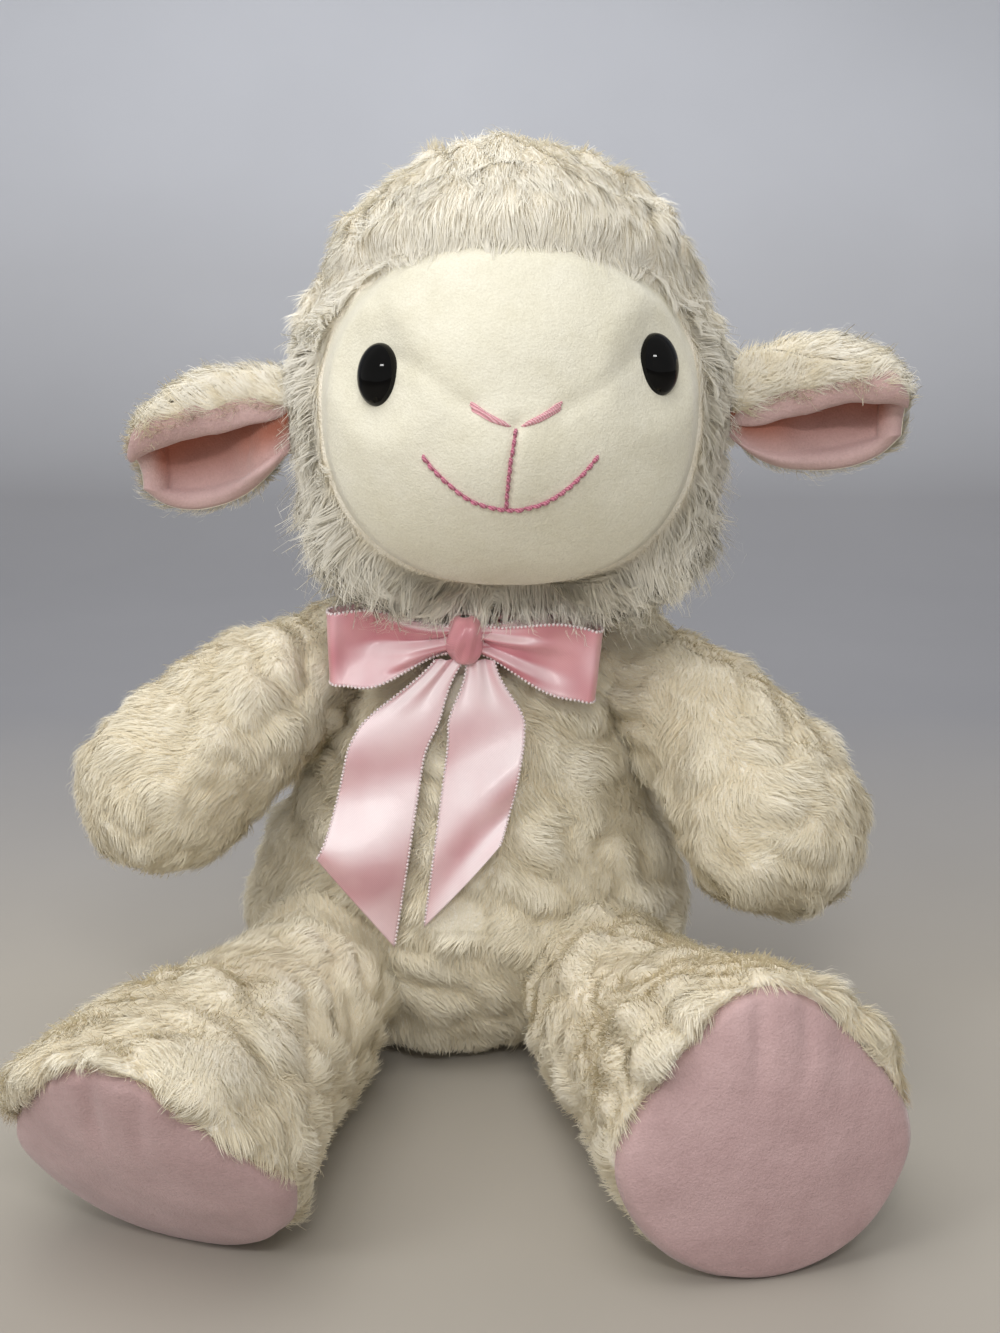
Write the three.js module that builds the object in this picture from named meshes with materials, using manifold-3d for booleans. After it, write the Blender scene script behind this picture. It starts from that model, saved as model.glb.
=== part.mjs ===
import * as THREE from 'three';
import { mergeVertices } from 'three/addons/utils/BufferGeometryUtils.js';
import Module from 'manifold-3d';

const wasm = await Module();
wasm.setup();

// A stuffed toy sheep that sits on the floor. Millimetres, +Z up.
// It looks along -Y, and +X is its own left side. The origin is the middle of its flat seat.

// Fabrics and clearances
const pile = 6;             // furry fabric with its pile pressed down
const velour = 2.5;         // short-napped fabric of the face, the soles and the ear linings
const ribbonThick = 0.8;
const gap = 0.3;            // between pieces that touch
const press = 0.5;          // how deep a round form is pressed flat by the floor
const seamCord = 1.6;       // turned and stitched edge of a seam, across
const weld = 1e-4;

// Torso
const torsoHeight = 152;
const torsoWidth = 145;
const torsoDepth = 122;
const neckForward = 8;
const neckLeft = 9;
const collarRadius = 30.5;
const collarHeight = 9;
// height share, width share, depth share
const torsoShares = [
  [0, 0.66, 0.7],
  [0.055, 0.86, 0.87],
  [0.16, 0.98, 0.98],
  [0.28, 1, 1],
  [0.39, 0.96, 0.98],
  [0.5, 0.87, 0.93],
  [0.62, 0.78, 0.84],
  [0.74, 0.69, 0.74],
  [0.84, 0.6, 0.64],
  [0.9, 0.51, 0.56],
];

// Head
const headWidth = 135;
const headDepth = 117;
const headHeight = 136;
const headLift = 71.5;      // from the turning point of the neck up to the middle of the head
const headForward = 17;
const headLeft = 8;
const muzzleOut = 6.5;
const muzzleDrop = 17;      // middle of the muzzle below the middle of the head
const muzzleWide = 38;
const muzzleTall = 30;
const crownTuck = 0.15;     // share of its width that the head loses towards the crown
const crownRound = 2.1;     // exponents of the head's outline: 2 is an ellipse, more is squarer
const jawRound = 2.8;
const crownEnd = 0.6;       // how far up and down the outline takes on these exponents, as shares
const jawEnd = 0.8;
const neckBall = 24;
const neckColumn = 17;

// Face
const faceWidth = 114;
const faceHeight = 104;
const faceDrop = 8.5;
const faceCorner = 2.4;     // exponents of the face outline, above its middle and below: 2 is an ellipse
const chinCorner = 2.05;
// How far an eye is to its own side of the middle of the head, and above it.
const leftEye = { out: 43, rise: 9.7 };
const rightEye = { out: 38.2, rise: 7.3 };
const eyeWide = 12.6;
const eyeTall = 18;
const eyeBulge = 5.2;
const shankRadius = 2.2;
const shankLong = 8;
const washerRadius = 6.5;
const washerThick = 1.2;
const threadThick = 1.5;
const noseWide = 25;
const noseRise = 5;
const noseLeft = 1.5;       // where the nose strokes meet, to the sheep's left
const noseDrop = 4.5;       // where the nose strokes meet, below the middle of the head
const noseBendShare = 0.4;  // where a nose stroke bends, as a share of its width and of its rise
const noseSettle = 0.8;     // how far the nose thread settles towards the flat faces of the panel
const lipDrop = 29.5;
const smileWide = 50;
const smileRise = 15.5;

// Ears
const earLong = 54;
const earTall = 42;
const earCup = 20;
const earPile = 4.2;
const liningLift = 0.7;     // lining off the back, so that flat faces of both stay apart
const earRoll = 4;
const earRollLong = 30;
const earOut = 0.8;         // how far the root roll stands out of the head
const earBack = 2;          // root in front of the middle of the head
const earSweepShare = 0.3;  // shares of the ear's length by which it has turned back, and down
const earTurnShare = 0.45;
// How far an ear's root is below the middle of the head. The rest are degrees:
// how far the ear hangs, lies back and tilts to face down.
const leftEar = { drop: 5, droop: 0, sweep: 0, tilt: 30 };
const rightEar = { drop: 9, droop: 18, sweep: 24, tilt: 26 };
// share of the length, share of the height, share of the cup's depth
const earShares = [
  [0.02, 0.58, 0.1],
  [0.16, 0.8, 0.42],
  [0.34, 0.95, 0.8],
  [0.54, 1, 1],
  [0.74, 0.93, 0.85],
  [0.9, 0.7, 0.5],
  [1, 0.34, 0.12],
];

// Arms
const armBall = 20;
const pawWide = 54;
const shoulderOut = 46;
const shoulderHeight = 126;
const shoulderForward = 6;
const armLength = 78;
// Where the paw is seen from the shoulder, and how far the arm bows up and out on its way there.
const leftReach = { heading: new THREE.Vector3(0.62, -0.62, -0.51), crown: 2, aside: 7 };
const rightReach = { heading: new THREE.Vector3(-0.69, -0.64, -0.34), crown: 5, aside: 0 };
// length share, radius share of the paw
const armShares = [
  [0, 0.741],
  [0.09, 0.7],
  [0.19, 0.76],
  [0.4, 0.88],
  [0.62, 0.94],
  [0.84, 0.99],
  [1, 1],
];

// Legs
const legBall = 25;
const footWide = 83;
const footTall = 84;
const footBulge = 11;
const soleWide = 77;
const soleTall = 78;
const hipOut = 42;
const hipForward = 43;
const hipHeight = 33;
const kneeRadius = 30;
const legTurn = 0.3;        // share of the leg from which it turns towards the way its sole faces
// How far out and forward; a sole also has the degrees that it faces out and up.
const leftKnee = { out: 58, forward: 90 };
const leftAnkle = { out: 74, forward: 129, height: 36 };
const leftSole = { out: 85, forward: 161, aside: 12, tip: 7 };
const rightKnee = { out: 56, forward: 90 };
const rightAnkle = { out: 70, forward: 130, height: 36 };
const rightSole = { out: 80, forward: 164, aside: 20, tip: -28 };
// length share, width share and height share of the foot
const legShares = [
  [0, 0.602, 0.595],
  [0.06, 0.575, 0.57],
  [0.13, 0.61, 0.605],
  [0.34, 0.72, 0.71],
  [0.55, 0.78, 0.77],
  [0.72, 0.88, 0.88],
  [0.87, 0.98, 0.98],
  [1, 1, 1],
];

// Ribbon
const ribbonWide = 24;
const bandTall = 8;
const knotAside = 3;
const knotWide = 12;
const knotDeep = 15;
const knotTall = 15;
const loopLong = 37;
const loopDeep = 13;
const loopPinch = 0.42;     // share of the ribbon's width at the knot
const loopFlareShare = 0.7; // share of the loop's length at which the ribbon is full width
const loopBellyShare = 0.6;
const loopSwellShare = 1.3;
const loopRoundShare = 0.9;
const leftLoopDroop = 12;   // degrees
const rightLoopDroop = 3;   // degrees
const tailPinch = 9;
const tailOpenShare = 0.22; // share of the tail's length at which the ribbon is full width
const tailSpreadShare = 0.33;
const tailCutPower = 2.2;   // how late the slanted cut starts
const leftTail = { drop: 81, aside: -11, spread: 5, cut: 29 };
const rightTail = { drop: 88, aside: -14, spread: 16, cut: 31 };
const tailLean = 20;        // how far forward a tail stands at its tip, to pass the belly

// Roundness: how many faces go round each form
const torsoSides = 20;
const headSides = 20;
const headRings = 12;
const limbSides = 12;
const limbDome = 3;
const soleSides = 16;
const ballSides = 16;
const ballRings = 6;
const ringSides = 16;
const coneSides = 10;
const cordSides = 4;
const searchSteps = 24;     // tries at finding a spot on the face
const earSteps = 5;
const tailSteps = 10;
const tailStrips = 3;
const smileSteps = 10;
const loopSteps = 5;
const overrun = 40;         // how far a cutter reaches past what it cuts
const reliefLong = 40;
const armRelief = 36;       // degrees that the armhole opens, for the arm's swing
const legRelief = 34;       // degrees that the leg hole opens, for the leg's swing

const up = new THREE.Vector3(0, 0, 1);
const forward = new THREE.Vector3(0, -1, 0);
const neckPoint = new THREE.Vector3(neckLeft, -neckForward, torsoHeight + gap);
const headMiddle = neckPoint.clone().add(new THREE.Vector3(headLeft, -headForward, headLift));

const colours = {
  fur: { color: 0xe9e2cb, roughness: 0.95 },
  face: { color: 0xefebdc, roughness: 0.85 },
  pink: { color: 0xdcabb1, roughness: 0.85 },
  fibre: { color: 0xf6f6f2, roughness: 1 },
  satin: { color: 0xe39aa8, roughness: 0.35 },
  thread: { color: 0xb64a70, roughness: 0.6 },
  cord: { color: 0xe3d9bd, roughness: 0.8 },
  eye: { color: 0x0b0a0a, roughness: 0.08 },
  washer: { color: 0xd9d9d4, roughness: 0.5 },
};

function toSolid(geometry) {
  const bare = geometry.clone();
  bare.deleteAttribute('normal');
  bare.deleteAttribute('uv');
  const merged = mergeVertices(bare, weld);
  return new wasm.Manifold(new wasm.Mesh({
    numProp: 3,
    vertProperties: merged.attributes.position.array,
    triVerts: new Uint32Array(merged.index.array),
  }));
}

function toGeometry(solid) {
  const mesh = solid.getMesh();
  const geometry = new THREE.BufferGeometry();
  geometry.setAttribute('position', new THREE.BufferAttribute(new Float32Array(mesh.vertProperties), 3));
  geometry.setIndex(new THREE.BufferAttribute(new Uint32Array(mesh.triVerts), 1));
  return geometry;
}

function node(name, solid, look) {
  const geometry = toGeometry(solid);
  geometry.computeVertexNormals();
  const mesh = new THREE.Mesh(geometry, new THREE.MeshStandardMaterial({ ...colours[look], metalness: 0 }));
  mesh.name = name;
  return mesh;
}

// A closed surface through rings of points. A ring of one point is a pole.
function through(rings) {
  const points = rings.flat();
  const starts = [];
  let count = 0;
  for (const ring of rings) {
    starts.push(count);
    count += ring.length;
  }
  const faces = [];
  for (let i = 0; i + 1 < rings.length; i += 1) {
    const low = rings[i];
    const high = rings[i + 1];
    const sides = Math.max(low.length, high.length);
    for (let j = 0; j < sides; j += 1) {
      const k = (j + 1) % sides;
      const a = starts[i] + (low.length > 1 ? j : 0);
      const b = starts[i] + (low.length > 1 ? k : 0);
      const c = starts[i + 1] + (high.length > 1 ? k : 0);
      const d = starts[i + 1] + (high.length > 1 ? j : 0);
      if (a !== b) faces.push(a, b, c);
      if (c !== d) faces.push(a, c, d);
    }
  }
  const geometry = new THREE.BufferGeometry();
  geometry.setAttribute('position', new THREE.Float32BufferAttribute(points.flatMap((p) => p.toArray()), 3));
  geometry.setIndex(faces);
  return toSolid(geometry);
}

function ellipse(middle, across, over, halfAcross, halfOver, sides) {
  const ring = [];
  for (let j = 0; j < sides; j += 1) {
    const turn = (2 * Math.PI * j) / sides;
    ring.push(middle.clone()
      .addScaledVector(across, halfAcross * Math.cos(turn))
      .addScaledVector(over, halfOver * Math.sin(turn)));
  }
  return ring;
}

// A ball that a round form of this radius can turn in: its flat faces stay outside the radius.
function socket(middle, radius) {
  const flats = Math.cos(Math.PI / ballSides) * Math.cos(Math.PI / ballRings / 2);
  return ball(middle, radius / flats);
}

function ball(middle, radius) {
  const geometry = new THREE.SphereGeometry(radius, ballSides, ballRings);
  geometry.rotateX(Math.PI / 2);
  geometry.translate(middle.x, middle.y, middle.z);
  return toSolid(geometry);
}

function box(low, high) {
  const size = high.clone().sub(low);
  const geometry = new THREE.BoxGeometry(size.x, size.y, size.z);
  const middle = low.clone().add(high).multiplyScalar(0.5);
  geometry.translate(middle.x, middle.y, middle.z);
  return toSolid(geometry);
}

// A ring of seam round a ball, square to the way the piece on the ball points.
function seamRing(middle, heading, ballRadius) {
  const flats = Math.cos(Math.PI / ringSides);
  const half = seamCord / 2;
  const geometry = new THREE.TorusGeometry((ballRadius + gap) / flats + half, half, cordSides, ringSides);
  geometry.applyQuaternion(new THREE.Quaternion().setFromUnitVectors(up, heading.clone().normalize()));
  geometry.translate(middle.x, middle.y, middle.z);
  return toSolid(geometry);
}

function seamReach(ballRadius) {
  return (ballRadius + gap) / Math.cos(Math.PI / ringSides) + seamCord;
}

// Cylinders and cones are made along +Y. This turns one to a heading.
function turnFromY(heading) {
  const axis = new THREE.Vector3(0, 1, 0);
  return new THREE.Quaternion().setFromUnitVectors(axis, heading.clone().normalize());
}

// A cone that opens away from a joint, so that the limb on it can swing.
function relief(middle, heading, radius, degrees) {
  const spread = reliefLong * Math.tan(THREE.MathUtils.degToRad(degrees));
  const geometry = new THREE.CylinderGeometry(radius + spread, radius, reliefLong, coneSides);
  geometry.translate(0, reliefLong / 2, 0);
  geometry.applyQuaternion(turnFromY(heading));
  geometry.translate(middle.x, middle.y, middle.z);
  return toSolid(geometry);
}

function aboveFloor(solid) {
  const reach = torsoHeight * 2;
  const low = new THREE.Vector3(-reach, -reach, -overrun);
  const high = new THREE.Vector3(reach, reach, 0);
  return solid.subtract(box(low, high));
}

// Torso

function torsoAt(share) {
  return new THREE.Vector3(neckLeft * share, -neckForward * share, torsoHeight * share);
}

// The torso's outer form, drawn in by a thickness of fabric.
function torsoForm(inset) {
  const x = new THREE.Vector3(1, 0, 0);
  const y = new THREE.Vector3(0, 1, 0);
  const rings = [];
  for (const [height, wide, deep] of torsoShares) {
    const middle = torsoAt(height);
    middle.z = Math.max(middle.z, inset);
    const halfWide = (torsoWidth * wide) / 2 - inset;
    const halfDeep = (torsoDepth * deep) / 2 - inset;
    rings.push(ellipse(middle, x, y, halfWide, halfDeep, torsoSides));
  }
  const collar = collarRadius - inset;
  for (const height of [1 - collarHeight / torsoHeight, 1]) {
    rings.push(ellipse(torsoAt(height), x, y, collar, collar, torsoSides));
  }
  const foot = torsoAt(0);
  foot.z = inset;
  return through([[foot], ...rings, [torsoAt(1)]]);
}

function limbHoles(limbs) {
  const neckHole = (seamReach(seamReach(neckBall)) + gap) / Math.cos(Math.PI / ballSides);
  let holes = ball(neckPoint, neckHole);
  for (const limb of limbs) {
    holes = holes.add(socket(limb.root, seamReach(limb.ballRadius) + gap));
    holes = holes.add(relief(limb.root, limb.heading, seamReach(limb.ballRadius), limb.opens));
  }
  return holes;
}

function torso(limbs) {
  const holes = limbHoles(limbs);
  const skin = torsoForm(0).subtract(torsoForm(pile)).subtract(holes);
  const stuffing = torsoForm(pile + gap).subtract(holes);
  return [node('torso_skin', skin, 'fur'), node('torso_stuffing', stuffing, 'fibre')];
}

// Limbs

// The spine starts at the limb's joint. The limb's root is a ball round that point.
function limbForm(limb, inset) {
  const spine = new THREE.CatmullRomCurve3(limb.spine);
  const rings = [];
  const start = spine.getTangentAt(0);
  const rootRadius = limb.ballRadius - inset;
  const aim = (share) => {
    const turn = THREE.MathUtils.smoothstep(share, legTurn, 1);
    return spine.getTangentAt(share).lerp(limb.faces, turn).normalize();
  };
  const addRing = (middle, along, halfWide, halfTall) => {
    const over = up.clone().addScaledVector(along, -up.dot(along)).normalize();
    const across = over.clone().cross(along);
    rings.push(ellipse(middle, across, over, halfWide, halfTall, limbSides));
  };
  rings.push([limb.root.clone().addScaledVector(start, -rootRadius)]);
  for (let k = 1; k <= limbDome; k += 1) {
    const turn = (Math.PI / 2) * (k / (limbDome + 1));
    const middle = limb.root.clone().addScaledVector(start, -rootRadius * Math.cos(turn));
    addRing(middle, start, rootRadius * Math.sin(turn), rootRadius * Math.sin(turn));
  }
  for (const [share, wide, tall] of limb.shares) {
    const halfWide = (limb.endWide * wide) / 2 - inset;
    const halfTall = (limb.endTall * tall) / 2 - inset;
    addRing(spine.getPointAt(share), aim(share), halfWide, halfTall);
  }
  const end = limb.faces;
  const tip = spine.getPointAt(1);
  const bulge = limb.bulge - inset;
  for (let k = 1; k <= limbDome; k += 1) {
    const turn = (Math.PI / 2) * (k / (limbDome + 1));
    const middle = tip.clone().addScaledVector(end, bulge * Math.sin(turn));
    const halfWide = (limb.endWide / 2 - inset) * Math.cos(turn);
    const halfTall = (limb.endTall / 2 - inset) * Math.cos(turn);
    addRing(middle, end, halfWide, halfTall);
  }
  rings.push([tip.clone().addScaledVector(end, bulge)]);
  return through(rings);
}

// The fibre shows at the limb's root, where the fabric ends in its seam.
function rootHole(limb, radius) {
  const length = limb.ballRadius + overrun;
  const geometry = new THREE.CylinderGeometry(radius, radius, length, coneSides);
  geometry.translate(0, -length / 2, 0);
  geometry.applyQuaternion(turnFromY(limb.heading));
  geometry.translate(limb.root.x, limb.root.y, limb.root.z);
  return toSolid(geometry);
}

function limbStuffing(limb) {
  const mouth = limb.ballRadius * Math.SQRT1_2;
  const plug = limbForm(limb, 0).intersect(rootHole(limb, mouth - gap));
  return aboveFloor(limbForm(limb, pile + gap).add(plug));
}

function limbSkin(limb) {
  const mouth = limb.ballRadius * Math.SQRT1_2;
  return aboveFloor(limbForm(limb, 0).subtract(limbForm(limb, pile)).subtract(rootHole(limb, mouth)));
}

function limbBase(side, root, spine, shares, details) {
  const curve = new THREE.CatmullRomCurve3(spine);
  const heading = curve.getTangentAt(0);
  const faces = curve.getTangentAt(1);
  return { side, root, spine, shares, heading, faces, ...details };
}

function arm(side, sign, reach) {
  const root = torsoAt(shoulderHeight / torsoHeight);
  root.add(new THREE.Vector3(sign * shoulderOut, -(shoulderForward - neckForward), 0));
  const way = reach.heading.clone().normalize();
  const middle = root.clone().addScaledVector(way, armLength / 2).addScaledVector(up, reach.crown);
  middle.x += sign * reach.aside;
  const end = root.clone().addScaledVector(way, armLength);
  const shares = armShares.map(([share, radius]) => [share, radius, radius]);
  return limbBase(side, root, [root, middle, end], shares, {
    ballRadius: armBall,
    endWide: pawWide,
    endTall: pawWide,
    bulge: pawWide / 2,
    opens: armRelief,
  });
}

function leg(side, sign, knee, ankle, sole) {
  const tip = THREE.MathUtils.degToRad(sole.tip);
  const aside = THREE.MathUtils.degToRad(sole.aside);
  const droop = Math.min(tip, 0);
  const level = Math.cos(tip);
  const soleHeight = Math.hypot((footTall / 2) * level, footBulge * Math.sin(droop)) - press;
  const root = new THREE.Vector3(sign * hipOut, -hipForward, hipHeight);
  const spine = [
    root,
    new THREE.Vector3(sign * knee.out, -knee.forward, kneeRadius - press),
    new THREE.Vector3(sign * ankle.out, -ankle.forward, ankle.height),
    new THREE.Vector3(sign * sole.out, -sole.forward, soleHeight),
  ];
  return limbBase(side, root, spine, legShares, {
    ballRadius: legBall,
    endWide: footWide,
    endTall: footTall,
    bulge: footBulge,
    opens: legRelief,
    faces: new THREE.Vector3(sign * Math.sin(aside) * level, -Math.cos(aside) * level, Math.sin(tip)),
  });
}

function armNodes(limb) {
  return [
    node(`${limb.side}_arm_skin`, limbSkin(limb), 'fur'),
    node(`${limb.side}_arm_stuffing`, limbStuffing(limb), 'fibre'),
    node(`${limb.side}_shoulder_seam`, seamRing(limb.root, limb.heading, limb.ballRadius), 'cord'),
  ];
}

// An oval prism square to the sole, from the foot's widest place out past the sole.
function soleCutter(limb, grow) {
  const tip = limb.spine.at(-1);
  const end = limb.faces;
  const over = up.clone().addScaledVector(end, -up.dot(end)).normalize();
  const across = over.clone().cross(end);
  const halfWide = soleWide / 2 + grow;
  const halfTall = soleTall / 2 + grow;
  const outer = tip.clone().addScaledVector(end, footBulge + overrun);
  const rings = [tip, outer].map((p) => ellipse(p, across, over, halfWide, halfTall, soleSides));
  return through([[tip], ...rings, [outer]]);
}

function legNodes(limb) {
  const whole = aboveFloor(limbForm(limb, 0));
  const fill = limbForm(limb, velour);
  const sole = whole.subtract(fill).intersect(soleCutter(limb, -gap));
  const behind = limbForm(limb, velour + gap).intersect(soleCutter(limb, -gap));
  const skin = limbSkin(limb).subtract(soleCutter(limb, 0));
  const stuffing = limbStuffing(limb).add(aboveFloor(behind));
  return [
    node(`${limb.side}_leg_skin`, skin, 'fur'),
    node(`${limb.side}_sole`, sole, 'pink'),
    node(`${limb.side}_leg_stuffing`, stuffing, 'fibre'),
    node(`${limb.side}_hip_seam`, seamRing(limb.root, limb.heading, limb.ballRadius), 'cord'),
  ];
}

// Head

// Where the inner side of the head's fabric lies, in one direction from its middle.
function headReach(way) {
  const narrow = 1 - crownTuck * Math.max(way.z, 0);
  const halfWide = (headWidth / 2 - pile) * narrow;
  const halfDeep = headDepth / 2 - pile;
  const halfTall = headHeight / 2 - pile;
  const jaw = THREE.MathUtils.smoothstep(-way.z, -crownEnd, jawEnd);
  const power = THREE.MathUtils.lerp(crownRound, jawRound, jaw);
  const parts = [way.x / halfWide, way.y / halfDeep, way.z / halfTall];
  const reach = parts.reduce((sum, part) => sum + Math.abs(part) ** power, 0) ** (-1 / power);
  if (way.y >= 0) return reach;
  const aside = (way.x * reach) / muzzleWide;
  const off = (way.z * reach + muzzleDrop) / muzzleTall;
  return reach - way.y * muzzleOut * Math.exp(-(aside * aside + off * off));
}

function headForm(out) {
  const geometry = new THREE.SphereGeometry(1, headSides, headRings);
  geometry.rotateX(Math.PI / 2);
  const spots = geometry.attributes.position;
  for (let i = 0; i < spots.count; i += 1) {
    const way = new THREE.Vector3().fromBufferAttribute(spots, i).normalize();
    const spot = way.clone().multiplyScalar(headReach(way) + out).add(headMiddle);
    spots.setXYZ(i, spot.x, spot.y, spot.z);
  }
  return toSolid(geometry);
}

// The face's outline as a prism that runs forward from the middle of the head.
function faceCutter(grow) {
  const turns = headSides;
  const halfWide = faceWidth / 2 + grow;
  const halfTall = faceHeight / 2 + grow;
  const ringAt = (depth) => {
    const ring = [];
    for (let j = 0; j < turns; j += 1) {
      const turn = (2 * Math.PI * j) / turns;
      const power = 2 / (Math.sin(turn) > 0 ? faceCorner : chinCorner);
      const x = Math.sign(Math.cos(turn)) * Math.abs(Math.cos(turn)) ** power * halfWide;
      const z = Math.sign(Math.sin(turn)) * Math.abs(Math.sin(turn)) ** power * halfTall;
      ring.push(headMiddle.clone().add(new THREE.Vector3(x, -depth, z - faceDrop)));
    }
    return ring;
  };
  const far = headDepth / 2 + muzzleOut + overrun;
  const near = headMiddle.clone().add(new THREE.Vector3(0, 0, -faceDrop));
  const front = near.clone().addScaledVector(forward, far);
  return through([[near], ringAt(0), ringAt(far), [front]]);
}

// A spot on the face, out from the fabric's outer side, given across and up from the head's middle.
function faceSpot(across, rise, out) {
  const base = new THREE.Vector3(across, 0, rise);
  let depth = headDepth / 2;
  for (let step = 0; step < searchSteps; step += 1) {
    const way = base.clone().addScaledVector(forward, depth);
    const wanted = headReach(way.clone().normalize()) + velour;
    depth += wanted - way.length();
  }
  const at = (dx, dz) => {
    const way = new THREE.Vector3(across + dx, -depth, rise + dz).normalize();
    return way.multiplyScalar(headReach(way) + velour);
  };
  const rising = at(0, threadThick).sub(at(0, -threadThick));
  const normal = rising.cross(at(threadThick, 0).sub(at(-threadThick, 0))).normalize();
  if (normal.y > 0) normal.negate();
  const spot = base.addScaledVector(forward, depth).add(headMiddle).addScaledVector(normal, out);
  return { spot, normal };
}

function eyeNodes(side, sign, eyePlace) {
  const { spot, normal } = faceSpot(sign * eyePlace.out, eyePlace.rise, 0);
  const turn = new THREE.Quaternion().setFromUnitVectors(up, normal);
  const place = (geometry, out) => {
    geometry.applyQuaternion(turn);
    geometry.translate(spot.x + normal.x * out, spot.y + normal.y * out, spot.z + normal.z * out);
    return toSolid(geometry);
  };
  const sides = limbSides;
  const shank = new THREE.CylinderGeometry(shankRadius, shankRadius, shankLong, sides / 2);
  shank.rotateX(Math.PI / 2);
  shank.translate(0, 0, -shankLong / 2 + gap + eyeBulge / 4);
  const eye = place(eyeDome(sides), gap).add(place(shank, 0));
  const bore = shankRadius + gap;
  const lift = -velour - gap - washerThick * 2;
  const washer = new THREE.LatheGeometry([
    new THREE.Vector2(bore, lift),
    new THREE.Vector2(washerRadius, lift),
    new THREE.Vector2(washerRadius, lift + washerThick),
    new THREE.Vector2(bore, lift + washerThick),
    new THREE.Vector2(bore, lift),
  ], sides);
  washer.rotateX(Math.PI / 2);
  const hole = new THREE.CylinderGeometry(bore, bore, shankLong * 2, sides / 2);
  hole.rotateX(Math.PI / 2);
  const pocket = new THREE.CylinderGeometry(washerRadius + gap, washerRadius + gap, shankLong * 2, sides);
  pocket.rotateX(Math.PI / 2);
  return {
    hole: place(hole, 0),
    pocket: place(pocket, 0),
    nodes: [
      node(`${side}_eye`, eye, 'eye'),
      node(`${side}_eye_washer`, place(washer, 0), 'washer'),
    ],
  };
}

// Half an oval dome with a flat back, which bulges towards +Z.
function eyeDome(sides) {
  const rings = [[new THREE.Vector3(0, 0, 0)]];
  const steps = limbDome + 1;
  const x = new THREE.Vector3(1, 0, 0);
  const y = new THREE.Vector3(0, 1, 0);
  for (let k = 0; k < steps; k += 1) {
    const turn = ((Math.PI / 2) * k) / steps;
    const middle = new THREE.Vector3(0, 0, eyeBulge * Math.sin(turn));
    const halfWide = (eyeWide / 2) * Math.cos(turn);
    const halfTall = (eyeTall / 2) * Math.cos(turn);
    rings.push(ellipse(middle, x, y, halfWide, halfTall, sides));
  }
  rings.push([new THREE.Vector3(0, 0, eyeBulge)]);
  return toGeometry(through(rings));
}

// A thread laid on the face through spots given across and up from the head's middle.
function stitch(spots, settle) {
  const out = threadThick / 2 + gap - settle;
  const path = new THREE.CatmullRomCurve3(spots.map(([across, rise]) => faceSpot(across, rise, out).spot));
  const half = threadThick / 2;
  const section = new THREE.Shape();
  for (let j = 0; j < cordSides + 1; j += 1) {
    const turn = (2 * Math.PI * j) / (cordSides + 1);
    const x = half * Math.cos(turn);
    const y = half * Math.sin(turn);
    if (j === 0) section.moveTo(x, y);
    else section.lineTo(x, y);
  }
  section.closePath();
  const steps = spots.length * 2;
  return toSolid(new THREE.ExtrudeGeometry(section, { steps, extrudePath: path, bevelEnabled: false }));
}

function stitches() {
  const bend = (noseWide / 2) * noseBendShare;
  const bendRise = noseRise * noseBendShare ** 2;
  const nose = stitch([
    [noseLeft - noseWide / 2, -noseDrop + noseRise],
    [noseLeft - bend, -noseDrop + bendRise],
    [noseLeft, -noseDrop],
    [noseLeft + bend, -noseDrop + bendRise],
    [noseLeft + noseWide / 2, -noseDrop + noseRise],
  ], noseSettle);
  const smile = [];
  for (let k = 0; k <= smileSteps; k += 1) {
    const across = 2 * (k / smileSteps) - 1;
    smile.push([(across * smileWide) / 2, -lipDrop + smileRise * across ** 2]);
  }
  const top = -noseDrop - threadThick - gap;
  const philtrum = stitch([[noseLeft, top], [noseLeft / 2, (top - lipDrop) / 2], [0, -lipDrop]], 0);
  return [
    node('nose_stitch', nose, 'thread'),
    node('mouth_stitch', philtrum.add(stitch(smile, 0)), 'thread'),
  ];
}

// The fibre that runs from the neck up into the head.
function neckCore(radius) {
  const way = headMiddle.clone().sub(neckPoint);
  const geometry = new THREE.CylinderGeometry(radius, radius, way.length(), coneSides);
  geometry.translate(0, way.length() / 2, 0);
  geometry.applyQuaternion(turnFromY(way));
  geometry.translate(neckPoint.x, neckPoint.y, neckPoint.z);
  return toSolid(geometry);
}

function headNodes(ears) {
  const eyes = [eyeNodes('left', 1, leftEye), eyeNodes('right', -1, rightEye)];
  const freeSpace = socket(neckPoint, collarRadius + gap + ribbonThick + gap);
  let hood = headForm(pile).subtract(headForm(0)).subtract(faceCutter(gap)).subtract(freeSpace);
  for (const ear of ears) hood = hood.subtract(ear.groove);
  let face = headForm(velour).subtract(headForm(0)).intersect(faceCutter(0));
  const neckFibre = neckCore(neckColumn).add(ball(neckPoint, neckBall));
  let stuffing = headForm(-gap).subtract(freeSpace).add(neckFibre);
  for (const eye of eyes) {
    face = face.subtract(eye.hole);
    stuffing = stuffing.subtract(eye.pocket);
  }
  return [
    node('head_hood', hood, 'fur'),
    node('face_panel', face, 'face'),
    node('head_stuffing', stuffing, 'fibre'),
    ...eyes.flatMap((eye) => eye.nodes),
    ...stitches(),
  ];
}

function neckNodes() {
  return [
    node('neck_thread', seamRing(neckPoint, up, neckBall), 'cord'),
    node('neck_hem', seamRing(neckPoint, up, seamReach(neckBall)), 'fur'),
  ];
}

// Ears

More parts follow.
